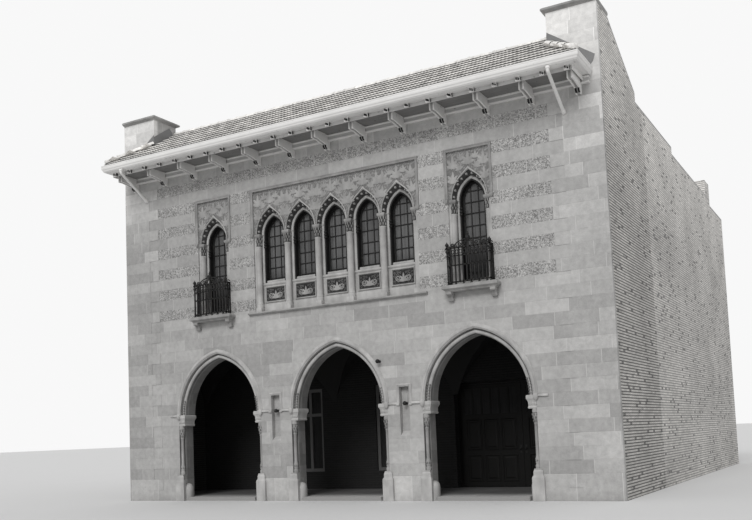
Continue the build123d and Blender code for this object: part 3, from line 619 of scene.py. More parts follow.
dress(bandedStone, "front_upper_wall")
dress(plainStone, "front_arcade", "front_piers", "quoins")
dress(pierStone, "end_piers")
dress(oldBrick, "left_side_wall", "right_side_wall")
dress(rearBrick, "rear_wall", "chimney")
dress(shadedPorchBrick, "porch_wall_left", "porch_wall_right", "porch_wall_over_door")
dress(whitePaint, "joist_tails")
dress(soffitPaint, "eaves_soffit")
dress(gutterPaint, "downspouts")
dress(windowPaint, "rear_windows")
dress(shadedWindowPaint, "porch_windows")
dress(tileShadow, "front_roof")
dress(dressedStone, "parapet_copings", "rear_coping")
dress(roofFelt, "rear_roof_slope", "roof_deck")
dress(paving, "ground_floor")
dress(boardFloor, "upper_floor")
dress(shadedVaultPlaster, "porch_vaults")
dress(paneGlass, "window_glass")
dress(shadedDoorWood, "door_frame", "door_left", "door_right")
dress(blackIron, "hinge_pins")


# profiles of turned forms are (radius, height), levels of stacked ones (height, step out)
hood = {
    "section": ((0, 0), (0, -0.022), (0.022, -0.034), (0.034, -0.052), (0.07, -0.055),
                (0.086, -0.042), (0.092, -0.026), (0.112, -0.018), (0.12, 0)),
    "rollCentre": (0.064, 0.088), "rollRadius": 0.05, "rollStart": -20, "rollStep": 14, "rollPoints": 12,
    "beforeRoll": ((0.135, 0.14), (0.135, 0.07), (0.118, 0.07)), "afterRoll": ((0, 0.12), (0, 0.14)),
    "stop": ((0.012, -0.11), (0.045, -0.085), (0.06, -0.04), (0.0697, 0), (0.06, 0.04), (0.03, 0.06)),
    "stopOut": 0.06, "stub": ((2.352, -0.012), (2.364, 0), (2.394, 0), (2.414, -0.012)),
    "stubReach": 0.24, "stubOut": 0.04,
    "footLeaf": ((0.004, -0.034), (0.021, -0.012), (0.024, 0.012), (0.004, 0.034)),
    "footRows": (1.595, 1.66), "footTurns": [0.03 + 0.042 * k for k in range(6)], "footY": 0.034,
}


def archRing(form, centre, section, baseRadius):
    curves = [archCurve(centre, baseRadius + out) for out, y in section]
    form.solid([[(curve[i][0], y, curve[i][1]) for curve, (out, y) in zip(curves, section)]
                for i in range(len(curves[0]))])


def makeArchMouldings():
    form, grooves, leaves = Form(), Form(), Form()
    x, y = hood["rollCentre"]
    angles = [math.radians(hood["rollStart"] - hood["rollStep"] * i) for i in range(hood["rollPoints"])]
    roll = [(x + hood["rollRadius"] * math.cos(a), y + hood["rollRadius"] * math.sin(a)) for a in angles]
    section = [*hood["beforeRoll"], *roll, *hood["afterRoll"]]
    for centre in archCentres:
        archRing(form, centre, hood["section"], house["orderRadius"])
        archRing(form, centre, section[5:-3], house["soffitRadius"])
        for part in (section[:6], section[-4:]):  # painted shade in the hollows on both sides of the roll
            archRing(grooves, centre, part, house["soffitRadius"])
    for centre, side in archSides:
        for radius in hood["footRows"]:  # carved leaves at the foot of the roll
            for a in hood["footTurns"]:
                x = centre + side * (radius * math.cos(a) - house["archOffset"])
                spot = (x, hood["footY"], house["springing"] + radius * math.sin(a))
                leaves.lathe(spot, hood["footLeaf"], 6)
        foot = centre + side * (house["orderRadius"] - house["archOffset"] + hood["stopOut"])
        form.lathe((foot, -0.03, house["springing"] - 0.02), hood["stop"], 12, (1, 0.75))
        low, high = between(foot, side, hood["stopOut"], hood["stopOut"] + hood["stubReach"])
        form.stack((low, -hood["stubOut"]), (high, 0), hood["stub"])
    grooves.piece("arch_grooves", darkCarvingAndShade, "carved_stone", smooth=40)
    leaves.piece("arch_foot_leaves", darkCarvingAndShade, "carved_stone", smooth=50)
    form.piece("arch_moulding_set", dressedStone, "carved_stone", "arch_mouldings", smooth=40)


makeArchMouldings()

shaft = {
    "profile": ((0, 0.73), (0.062, 0.73), (0.066, 0.8), (0.05, 0.83), (0.06, 0.86), (0.052, 0.9),
                (0.064, 0.95), (0.05, 0.99), (0.044, 1.03), (0.044, 1.73), (0.056, 1.745), (0.044, 1.765),
                (0.05, 1.82), (0.068, 1.9), (0.074, 1.97), (0.06, 1.985), (0.078, 2), (0.078, 2.05),
                (0.07, 2.09), (0, 2.09)),
    "leafRows": ((1.8, 0.052, 7), (1.88, 0.068, 7), (1.95, 0.078, 7)),  # height, reach and count
    "leaf": ((0.004, -0.03), (0.014, -0.01), (0.019, 0.012), (0.012, 0.03), (0.002, 0.036)),
    "footRows": ((0.91, 0.058, 8),),
    "footLeaf": ((0.003, -0.026), (0.013, -0.006), (0.012, 0.012), (0.003, 0.03)),
    "lining": (0.735, 2.088),
}


def leafRings(form, x, y, rows, leaf):  # rows of carved leaves round a shaft, every other one shifted
    for row, (z, reach, count) in enumerate(rows):
        for k in range(count):
            turn = 2 * math.pi * (k + (row % 2) * 0.5) / count
            form.lathe((x + reach * math.cos(turn), y + reach * math.sin(turn), z), leaf, 6)


def makeShafts():
    form, leaves, nook = Form(), Form(), Form()
    depth = house["orderDepth"]
    low, high = shaft["lining"]
    for centre, side in archSides:
        x = centre + side * (house["jambHalf"] + house["nook"] / 2)
        form.lathe((x, depth / 2, 0), shaft["profile"], 14)
        leafRings(leaves, x, depth / 2, shaft["leafRows"], shaft["leaf"])
        leafRings(leaves, x, depth / 2, shaft["footRows"], shaft["footLeaf"])
        far = house["nook"] - 0.001  # painted shade: a dark lining in the nook behind the shaft
        for near, front in ((0.004, depth - 0.005), (far - 0.004, 0.012)):
            a, b = between(centre, side, house["jambHalf"] + near, house["jambHalf"] + far)
            nook.box((a, front, low), (b, depth - 0.001, high))
    # painted shade: the shafts take the darker weathered stone, standing for the shade in the nooks
    form.piece("jamb_shaft_set", weatheredAndShadedStone, "carved_stone", "jamb_shafts", smooth=45)
    nook.piece("jamb_nooks", darkCarvingAndShade, "carved_stone")
    leaves.piece("jamb_shaft_leaves", darkCarvingAndShade, "carved_stone", smooth=50)


makeShafts()

impost = {
    "levels": ((2.09, 0), (2.12, 0.012), (2.145, 0), (2.24, 0.004), (2.28, 0.02), (2.305, 0.034),
               (2.315, 0.04), (2.38, 0.04), (2.4, 0.028)),
    "front": 0.012, "back": 0.42, "leaves": 5, "leafY": 0.008, "leafZ": 2.2,
    "leaf": ((0.004, -0.045), (0.018, -0.02), (0.022, 0.015), (0.014, 0.045), (0.003, 0.055)),
}


def makeImposts():
    form = Form()
    for centre, side in archSides:
        inner = house["soffitRadius"] - house["archOffset"]
        a, b = between(centre, side, inner, house["jambHalf"] + 0.02)
        form.stack((a, house["orderDepth"]), (b, impost["back"]), impost["levels"])
        a, b = between(centre, side, inner + 0.003, house["jambHalf"] + house["nook"])
        form.stack((a, impost["front"]), (b, house["orderDepth"] + 0.02), impost["levels"])
        for k in range(impost["leaves"]):  # row of leaves under the top
            x = a + (b - a) * (k + 0.5) / impost["leaves"]
            form.lathe((x, impost["leafY"], impost["leafZ"]), impost["leaf"], 8)
    form.piece("impost_set", dressedStone, "carved_stone", "impost_blocks", bevel=0.003)


makeImposts()

plinth = {
    "inner": -0.07, "outer": 0.22,  # from the jamb
    "levels": ((0, 0), (0.52, 0), (0.55, -0.008), (0.57, -0.024), (0.6, -0.03), (0.66, -0.03),
               (0.7, -0.045), (0.73, -0.055)),
    "guardY": 0.18, "guardRadius": 0.165,
    "guard": ((1, 0), (1, 0.3), (0.97, 0.36), (0.88, 0.41), (0.72, 0.445), (0.5, 0.467), (0.25, 0.478),
              (0.05, 0.48)),
}


def makePlinths():
    form, stones = Form(), Form()
    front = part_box("pier_plinths")[0].y
    radius = plinth["guardRadius"]
    for centre, side in archSides:
        a, b = between(centre + side * house["jambHalf"], side, plinth["inner"], plinth["outer"])
        form.stack((a, front), (b, 0.02), plinth["levels"])
        foot = (centre + side * house["jambHalf"], plinth["guardY"], 0)
        stones.lathe(foot, plinth["guard"], 24, (radius, radius))
    form.piece("plinth_set", dressedStone, "carved_stone", "pier_plinths", bevel=0.006)
    stones.piece("guard_stone_set", dressedStone, "carved_stone", "guard_stones", smooth=50)


makePlinths()

niche = {
    "half": 0.135, "top": 2.79, "leg": 0.42,
    "section": ((0, 0), (0, -0.018), (0.02, -0.026), (0.034, -0.04), (0.052, -0.04), (0.062, -0.026),
                (0.075, -0.014), (0.075, 0)),
    "stopOut": 0.037, "stop": ((-0.05, -0.02), (-0.03, 0), (0, 0), (0.012, -0.014)),
    "footSlope": ((0, 1.59), (0.13, 1.59), (0.13, 1.7), (0.012, 1.6)),
    # X, Z and the Y of what carries each lamp
    "lamps": ((-1.93, 2.376, 0.13), (1.93, 2.376, 0.13), (1.283, 3.453, 0)),
    "lampRadius": 0.053, "lampOut": 0.12, "arm": 0.016, "rose": (0.035, 0.012),
}


def makeLabel(form, centre, half, foot, top, shape, stopHalf=0.04, stopOut=0.045):
    # a square label over an opening, with a stop at each end
    form.mould([(centre - half, foot), (centre - half, top), (centre + half, top), (centre + half, foot)],
               shape["section"])
    for side in sides:
        x = centre + side * (half + shape["stopOut"])
        form.stack((x - stopHalf, -stopOut), (x + stopHalf, 0), raised(shape["stop"], foot))


def makeNiches():
    form, lamps = Form(), Form()
    half, top, r = niche["half"], niche["top"], niche["lampRadius"]
    for side in sides:
        x = side * house["archSpacing"] / 2
        makeLabel(form, x, half, top - niche["leg"], top, niche)
        form.prism(niche["footSlope"], x - half, x + half)
    for x, z, back in niche["lamps"]:
        y = back - niche["lampOut"]
        lamps.lathe((x, y, z), ball(r, 10), 18)
        lamps.lathe((x, y, z), ((r * 1.04, -0.006), (r * 1.07, 0), (r * 1.04, 0.006)), 18)  # seam
        lamps.tube([(x, y + 0.04, z), (x, back, z)], niche["arm"], 10)
        lamps.tube([(x, back - niche["rose"][1], z), (x, back, z)], niche["rose"][0], 12)
    form.piece("niche_label_set", dressedStone, "carved_stone", "niche_labels", smooth=35)
    lamps.piece("wall_lamp_set", blackIron, "black_iron", "wall_lamps", smooth=50)


makeNiches()
print("porch stonework made")


tracery = {
    "steps": 18, "reliefRows": 7,
    # half span, rise, Y and lift of the tip for each step of the head, from the face to the sash
    "orders": ((0.474, 0.7, 0.034, 0.07), (0.468, 0.69, 0.012, 0.07), (0.456, 0.665, 0.008, 0.05),
               (0.452, 0.655, 0.035, 0.03), (0.425, 0.6, 0.13, 0), (0.408, 0.575, 0.2, 0),
               (0.402, 0.56, 0.185, 0), (0.38, 0.53, 0.172, 0), (0.352, 0.508, 0.18, 0),
               (0.337, 0.495, 0.196, 0), (0.335, 0.493, 0.24, 0), (0.335, 0.493, 0.35, 0)),
    "hollow": (3, 5), "flowers": 10, "flowerSize": 0.027, "flowerDepth": 0.02,
    "boss": ((0.7, -0.7), (0.9, 0), (0.7, 0.7)),  # in shares of the flower's size
    # carved sprays of a head: distance from its middle, height, size and lean
    "sprays": ((-0.43, 0.4, 0.3, 6), (0.43, 0.4, 0.3, -6), (-0.4, 0.76, 0.34, 0), (0.4, 0.76, 0.34, 0),
               (0, 0.81, 0.34, 0), (-0.21, 0.7, 0.22, -20), (0.21, 0.7, 0.22, 20), (-0.2, 0.93, 0.2, 0),
               (0.2, 0.93, 0.2, 0)),
    "jambRoll": ((0.4875, 0.2), (0.408, 0.2), (0.402, 0.185), (0.38, 0.172), (0.352, 0.18), (0.337, 0.196),
                 (0.335, 0.24), (0.335, 0.35), (0.4875, 0.35)),
    "jambCap": ((-0.03, -0.004), (-0.018, 0.006), (-0.004, 0.006), (0.006, -0.004)),
    "base": ((5.06, 0), (5.27, 0), (5.285, -0.012), (5.3, -0.024)),
    "sill": ((5.795, -0.02), (5.815, -0.006), (5.825, 0), (5.85, 0), (5.87, -0.016)),
    "jambCapSpan": (0.345, 0.41), "jambCapY": (0.168, 0.22), "baseY": (0.175, 0.3), "sillY": (0.172, 0.34),
    "wallFront": 0.2, "thresholdFront": 0.03, "sideStrip": 0.055, "stripBack": 0.21,
    # five flame-like leaves of a spray: direction and length
    "spray": ((-70, 0.6), (-34, 0.82), (0, 1), (34, 0.82), (70, 0.6)),
}


def rimPoint(t, left, right, bottom, top):  # round the frame of a window head, from foot to foot
    up, across = top - bottom, right - left
    run = t * (2 * up + across)
    if run < up:
        return left, bottom + run
    if run < up + across:
        return left + run - up, top
    return right, top - (run - up - across)


def palmette(form, root, size, lean=0):  # leaves that spread from one root, each bent outwards
    x, y, z = root
    for turn, long in tracery["spray"]:
        path = []
        for i in range(9):
            t = i / 8
            angle = math.radians(lean + turn * (0.55 + 0.5 * t))
            path.append((x + size * long * t * math.sin(angle), y - 0.001 * abs(turn) / 38,
                         z + size * long * t * math.cos(angle)))
        form.ribbon(path, size * 0.125)


def carveHead(form, hollow, ground, leaves, centre, left, right):  # one window head with its spandrels
    bottom, top, face = house["lightSpringing"], house["screenTop"], house["spandrelFront"]
    first, last = tracery["hollow"]
    curves = [[(x, y, z) for x, z in pointedCurve(centre, half, rise, tracery["steps"], tip)]
              for half, rise, y, tip in tracery["orders"]]
    form.rings(curves[:first + 1], closed=False)
    # painted shade: the deep hollow round the head is made dark
    hollow.rings(curves[first:last + 1], closed=False)
    form.rings(curves[last:], closed=False)
    end = len(curves[0]) - 1
    up, across = top - bottom, right - left
    rim = [rimPoint(i / end, left, right, bottom, top) for i in range(end + 1)]
    rim[round(up / (2 * up + across) * end)] = (left, top)
    rim[round((up + across) / (2 * up + across) * end)] = (right, top)
    rows = []
    for row in range(tracery["reliefRows"] + 1):
        s = row / tracery["reliefRows"]
        rows.append([(x0 + (x1 - x0) * s, face - 0.002 + 0.004 * (s == 1), z0 + (z1 - z0) * s)
                     for (x0, z0), (x1, y1, z1) in zip(rim, curves[0])])
    ground.rings(rows, closed=False)
    size, depth = tracery["flowerSize"], tracery["flowerDepth"]
    for k in range(tracery["flowers"]):  # square flowers in the hollow round the head
        t = (k + 0.5) / tracery["flowers"] * end
        i = int(t)
        outer, inner = [Vector(curves[n][i]).lerp(Vector(curves[n][i + 1]), t - i) for n in (first, last)]
        x, y, z = outer * 0.62 + inner * 0.38
        leaves.box((x - size, y - depth, z - size), (x + size, y + depth, z + size))
        leaves.lathe((x, y - depth, z), [(size * r, size * up) for r, up in tracery["boss"]], 6)
    for out, z, size, lean in tracery["sprays"]:  # leaves beside the head and over its tip
        palmette(leaves, (centre + out, face - 0.006, bottom + z), size, lean)


def makeScreens():
    form, hollow, ground, leaves = Form(), Form(), Form(), Form()
    bottom, back, low = house["lightSpringing"], house["screenBack"], house["screenBottom"]
    for centre, sill in lights:
        wide = house["sideHalf"] if sill == house["balconySill"] else house["lightSpacing"] / 2
        left = -house["groupHalf"] if centre == lightCentres[0] else centre - wide
        right = house["groupHalf"] if centre == lightCentres[-1] else centre + wide
        carveHead(form, hollow, ground, leaves, centre, left, right)
        for side, outer in ((-1, left), (1, right)):  # jambs below the springing, with a small cap
            outline = [(centre + side * x, y) for x, y in tracery["jambRoll"]]
            outline[0], outline[-1] = [(outer, outline[end][1]) for end in (0, -1)]
            form.solid([[(x, y, z) for x, y in outline] for z in (sill, bottom)])
            ends = zip(between(centre, side, *tracery["jambCapSpan"]), tracery["jambCapY"])
            form.stack(*ends, raised(tracery["jambCap"], bottom))
    # wall under the middle group, with its base course and sill
    half = house["groupHalf"]
    form.box((-half, tracery["wallFront"], low), (half, back, house["sill"]))
    form.stack(*zip((-half, half), tracery["baseY"]), tracery["base"])
    form.stack(*zip((-half, half), tracery["sillY"]), tracery["sill"])
    for centre in sideCentres:  # thresholds of the balcony doors
        half = house["sideHalf"]
        form.box((centre - half, tracery["thresholdFront"], low), (centre + half, back, house["balconySill"]))
    for centre, half, side in groupSides:  # plain strips beside the end colonnettes
        a, b = between(centre, side, half, half - tracery["sideStrip"])
        form.box((a, house["spandrelFront"], low), (b, tracery["stripBack"], bottom))
    form.piece("window_tracery", dressedStone, "carved_stone", "window_screens", smooth=42)
    hollow.piece("window_head_hollows", shadedHollowStone, "carved_stone", smooth=42)
    ground.piece("spandrel_ground", shadedLeafGround, "carved_stone")
    leaves.piece("spandrel_leaves", paleCarving, "carved_stone", smooth=60)


makeScreens()

colonnette = {
    "y": 0.12, "cap": 0.092, "foot": 0.095, "endIn": 0.085,
    "profile": ((0, 5.06), (0.1, 5.06), (0.1, 5.2), (0.097, 5.215), (0.102, 5.235), (0.096, 5.262),
                (0.09, 5.275), (0.095, 5.292), (0.086, 5.31), (0.083, 5.35), (0.083, 6.83), (0.093, 6.845),
                (0.095, 6.86), (0.078, 6.875), (0, 6.875)),
    "bell": ((0, 6.87), (0.074, 6.872), (0.07, 6.93), (0.074, 7.02), (0.084, 7.08), (0.092, 7.105),
             (0.088, 7.12), (0, 7.12)),
    "abacus": ((7.11, -0.02), (7.13, 0), (7.15, 0.01), (7.165, 0.016), (7.2, 0.016), (7.21, 0.008)),
    "base": ((5.06, 0), (5.17, 0), (5.185, -0.01)),
    "leafRows": ((6.935, 0.08, 7), (7.015, 0.086, 7), (7.085, 0.098, 8)),
    "leaf": ((0.003, -0.045), (0.013, -0.026), (0.017, 0.006), (0.02, 0.026), (0.003, 0.038)),
}


def makeColonnettes():
    form, bells, leaves = Form(), Form(), Form()
    places = [house["lightSpacing"] * (i + 0.5) for i in (-2, -1, 0, 1)]
    places += [centre + side * (half - colonnette["endIn"]) for centre, half, side in groupSides]
    y, cap, foot = colonnette["y"], colonnette["cap"], colonnette["foot"]
    for x in places:
        form.lathe((x, y, 0), colonnette["profile"], 20)
        # painted shade: the bell behind the leaves is made dark
        bells.lathe((x, y, 0), colonnette["bell"], 20)
        leaves.stack((x - cap, y - cap), (x + cap, y + cap), colonnette["abacus"])
        form.stack((x - foot, y - foot), (x + foot, y + 0.085), colonnette["base"])
        leafRings(leaves, x, y, colonnette["leafRows"], colonnette["leaf"])
    form.piece("colonnette_set", dressedStone, "carved_stone", "window_colonnettes", smooth=40)
    bells.piece("capital_bells", shadedHollowStone, "carved_stone", smooth=40)
    leaves.piece("colonnette_leaves", carvedStone, "carved_stone", smooth=50)


makeColonnettes()

panel = {
    "half": 0.33, "bottom": 5.33, "top": 5.76, "face": 0.196, "frame": 0.03,
    "section": ((0, 0.2), (0, 0.17), (-0.012, 0.163), (-0.022, 0.168), (-0.03, 0.19), (-0.03, 0.2)),
    "bud": ((0, 0), (0.018, 0.02), (0.03, 0.012)),
    # curled stems on the right half: start, reach and height in shares of the half panel, thickness
    "stems": ((0.38, -0.75, 0.3, 0.55, 0.0085), (0.42, 0.1, 0.26, 0.55, 0.008),
              (0.72, -0.8, 0.2, 0.5, 0.0075), (0.74, -0.1, 0.2, 0.5, 0.0075),
              (0.74, 0.42, 0.18, 0.4, 0.0075), (0.2, 0.45, 0.2, 0.38, 0.008),
              (0.45, 0.55, 0.16, 0.34, 0.007), (0.56, -0.45, 0.14, 0.36, 0.007)),
    "scroll": (0.15, -0.03, 0.07, 0.014, 0.013), "palm": (-0.12, 0.23), "beads": 22, "beadHalf": 0.007,
}


def makePanels():
    form, ground, figure, stems = Form(), Form(), Form(), Form()
    face, bottom, top = panel["face"], panel["bottom"], panel["top"]
    middle = (top + bottom) / 2
    wide, tall = panel["half"] - panel["frame"], (top - bottom) / 2 - panel["frame"]
    across, rise, radius, end, thickness = panel["scroll"]
    root, size = panel["palm"]
    bead = panel["beadHalf"]
    for centre in lightCentres:
        low, high = centre - panel["half"], centre + panel["half"]
        edge = [(low, bottom), (low, top), (high, top), (high, bottom), (low, bottom)]
        form.mould(edge, panel["section"])
        # painted shade: the sunk ground behind the carving is nearly black
        ground.box((low + 0.02, face, bottom + 0.02), (high - 0.02, face + 0.003, top - 0.02))
        for side in sides:
            eye = (centre + side * across, face - 0.008, middle + rise)
            curve = spiral(eye, math.pi * 1.5, side * 1.4, radius, end)
            figure.tube([(centre, face - 0.008, middle + root)] + curve, thickness, 5)
            for u, v, reach, height, thick in panel["stems"]:
                curl = []
                for a in turns(10, 6):
                    out = u + reach * (0.5 - 0.5 * math.cos(a)) * (1 - a / 9)
                    up = v + height * 0.5 * math.sin(a) * (1 - a / 9) + height * 0.3
                    curl.append((centre + side * out * wide, face - 0.007, middle + up * tall))
                stems.tube(curl, thick, 4)
                x, y, z = curl[5]  # a bud half way along the curl
                bud = [(x + side * out, y, z + up) for out, up in panel["bud"]]
                stems.tube(bud, thick * 0.9, 4)
        palmette(figure, (centre, face - 0.004, middle + root), size)
        for k in range(panel["beads"]):
            x = centre + wide * (2 * (k + 0.5) / panel["beads"] - 1)
            for z in (middle - tall * 0.93, middle + tall * 0.93):
                stems.box((x - bead, face - 0.008, z - bead), (x + bead, face, z + bead))
    form.piece("panel_frames", dressedStone, "carved_stone", "carved_panels")
    ground.piece("panel_grounds", shadedPanelGround, "carved_stone")
    stems.piece("panel_stems", darkCarvingAndShade, "carved_stone", smooth=60)
    figure.piece("panel_figures", paleCarving, "carved_stone", smooth=60)


makePanels()

label = {
    "section": ((0, 0), (0, -0.012), (0.018, -0.02), (0.04, -0.03), (0.052, -0.045), (0.064, -0.04),
                (0.07, -0.018), (0.07, 0)),
    "stopOut": 0.035,
    "stop": ((-0.09, -0.03), (-0.07, -0.01), (-0.02, 0.004), (0, 0.004), (0.012, -0.012)),
    # Y and height over its underside for each corner of the sill's front
    "sill": ((0, 0), (-0.035, 0), (-0.05, 0.018), (-0.085, 0.028), (-0.09, 0.05)),
}


def makeLabels():
    form, sill = Form(), Form()
    for centre, half in windowGroups:
        makeLabel(form, centre, half, house["lightSpringing"], house["screenTop"], label)
    form.piece("window_label_set", weatheredAndShadedStone, "carved_stone", "window_labels", smooth=35)
    low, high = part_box("sill_string")
    outline = [(y, low.z + up) for y, up in label["sill"]] + [(-0.078, high.z), (0, high.z)]
    sill.prism(outline, low.x, high.x)
    sill.piece("sill_moulding", weatheredAndShadedStone, "carved_stone", "sill_string", bevel=0.003)


makeLabels()

sash = {
    "rail": 0.045, "bar": 0.024, "barAcross": 0.098, "front": 0.348, "back": 0.386, "liner": 0.205,
    "outer": (0.337, 0.495),  # half span and rise of the lining's outer edge
    "levels": (7.44, 7.165, 6.89, 6.58, 6.29, 6), "lowLevels": (5.71, 5.42),
    "sill": ((0, 0), (0.06, 0), (0.07, -0.008)), "sillHalf": 0.299, "sillBack": 0.36,
    "stay": 6.93, "stayKnob": 0.042, "knobRises": (0, -0.07, 0.075), "stayHalf": 0.1, "stayY": 0.2,
}


def makeSashes():
    form, sills = Form(), Form()
    bottom, half, pointRise = house["lightSpringing"], house["lightHalf"], house["lightRise"]
    front, back, liner, rail = sash["front"], sash["back"], sash["liner"], sash["rail"]
    bar, r, stay = sash["bar"] / 2, sash["stayKnob"], sash["stay"]
    radius = pointRadius(half, pointRise)
    for centre, sill in lights:
        outer, lining, inner = [
            [(centre - h, foot)] + pointedCurve(centre, h, up, 14) + [(centre + h, foot)]
            for h, up, foot in ((*sash["outer"], sill), (half, pointRise, sill),
                                (half - rail, pointRise - 0.05, sill + 0.05))]
        steps = ((outer, back), (outer, liner), (lining, liner), (lining, front),
                 (inner, front), (inner, back), (outer, back))
        form.rings([[(x, y, z) for x, z in curve] for curve, y in steps], closed=False)
        for side in sides:
            x = centre + side * sash["barAcross"]
            head = math.sqrt(radius ** 2 - (sash["barAcross"] + radius - half) ** 2)
            form.box((x - bar, front + 0.004, sill + 0.04), (x + bar, back, bottom + head - 0.03))
        for z in sash["levels"] + (sash["lowLevels"] if sill == house["balconySill"] else ()):
            span = math.sqrt(radius ** 2 - max(z - bottom, 0) ** 2) - (radius - half) - 0.01
            form.box((centre - span, front + 0.002, z - bar), (centre + span, back, z + bar))
        x, y, reach = centre - half, sash["stayY"], sash["stayHalf"]  # casement stay at the left jamb
        for rise in sash["knobRises"]:
            form.lathe((x, y, stay + rise), ((0.006, -r), (r, -r * 0.4), (r, r * 0.4), (0.006, r)), 8)
        form.tube([(x, y, stay - reach), (x, y, stay + reach)], 0.018)
        form.tube([(x, y, stay), (x + 0.01, sash["sillBack"], stay)], 0.014)
        low, high = (centre - sash["sillHalf"], liner + 0.03), (centre + sash["sillHalf"], sash["sillBack"])
        sills.stack(low, high, raised(sash["sill"], sill))
    form.piece("sash_set", darkSteelAndShade, "dark_steel_sash", "window_sashes", bevel=0.002)
    sills.piece("sash_sills", dressedStone, "carved_stone")


makeSashes()
print("windows made")


balcony = {
    "half": 0.71, "depth": 0.27,
    "levels": ((4.95, -0.075), (4.965, -0.06), (4.98, -0.062), (5, -0.03), (5.012, -0.012), (5.02, 0),
               (5.065, 0), (5.11, -0.055)),
    "consoleCentre": 0.56, "consoleHalf": 0.062,
    "console": ((0, 4.955), (-0.2, 4.955), (-0.205, 4.93), (-0.2, 4.9), (-0.185, 4.885),
                (-0.155, 4.88), (-0.125, 4.868), (-0.105, 4.84), (-0.098, 4.8), (-0.092, 4.77),
                (-0.075, 4.748), (-0.045, 4.74), (0, 4.742)),
    # centre, radius and thickness
    "scrolls": (((-0.165, 4.918), 0.026, 0.008), ((-0.06, 4.782), 0.022, 0.007)),
    "flute": ((-0.126, 4.868), (-0.106, 4.84), (-0.1, 4.79)), "flutePitch": 0.036,
}


def makeBalconies():
    form = Form()
    half, depth, w = balcony["half"], balcony["depth"], balcony["consoleHalf"]
    for centre in sideCentres:
        form.solid([[(centre - half - out, 0, z), (centre - half - out, -depth - out, z),
                     (centre + half + out, -depth - out, z), (centre + half + out, 0, z)]
                    for z, out in balcony["levels"]])
        for x in (centre - balcony["consoleCentre"], centre + balcony["consoleCentre"]):
            form.prism(balcony["console"], x - w, x + w)
            for face in (x - w - 0.004, x + w + 0.004):  # raised scrolls on the sides
                for middle, radius, thick in balcony["scrolls"]:
                    form.tube([(face, y, z) for y, z in ellipse(middle, radius, radius)], thick)
            for k in (-1, 0, 1):  # flutes on the front
                form.tube([(x + k * balcony["flutePitch"], y, z) for y, z in balcony["flute"]], 0.011)
    form.piece("balcony_set", weatheredAndShadedStone, "carved_stone", "balconies", smooth=35)


makeBalconies()

railing = {
    "half": 0.56, "front": -0.216, "bar": 0.031, "pitch": 0.1, "foot": 5.11, "top": 6.01,
    "rails": ((5.185, 0.034), (5.58, 0.024), (5.81, 0.026), (6.01, 0.04)),  # top and height
    "shoe": ((5.11, 0), (5.128, 0), (5.14, -0.008)), "ring": (5.89, 0.034, 0.046, 0.011),
    "knob": ((0.014, 0), (0.026, 0.02), (0.044, 0.045), (0.046, 0.07), (0.03, 0.095), (0.012, 0.11),
             (0.004, 0.14)),
    "collar": ((0.02, -0.04), (0.042, -0.012), (0.042, 0.022), (0.02, 0.05)), "collarZ": 5.9,
    "finial": ((0.016, -0.06), (0.03, -0.03), (0.05, 0), (0.06, 0.035), (0.05, 0.07), (0.026, 0.1),
               (0.034, 0.125), (0.02, 0.155), (0.004, 0.185)),
    "crestHalf": 0.36, "crestRise": 0.17, "crestFoot": 6, "crestTop": 6.16,
    "crestBall": ((0.01, 0), (0.03, 0.02), (0.03, 0.05), (0.008, 0.075)),
    "arm": ((-0.01, 6.05), (-0.0756, 6.06), (-0.1728, 6.02)), "spike": (0.016, 0.012, 5.58),
    # scrolls at the right corner: in from the post, height, start, number of turns, radius, eye, thickness
    "cornerScrolls": ((0.03, 5.96, 0, 1.35, 0.075, 0.018, 0.017),
                      (0.13, 6.05, -0.5, -1.2, 0.052, 0.014, 0.014)),
    # scrolls of the crest: distance from the middle, height, start, number of turns, radius, thickness
    "crestScrolls": ((0.11, 6.06, 1.5, 1.3, 0.055, 0.014), (0.22, 6.055, 1.5, -1.2, 0.05, 0.013),
                     (0.31, 6.03, 1.5, 1.1, 0.032, 0.011), (0.06, 6.12, 0, 1.2, 0.03, 0.011),
                     (0.42, 6.035, 0, 1.2, 0.03, 0.011)),
}


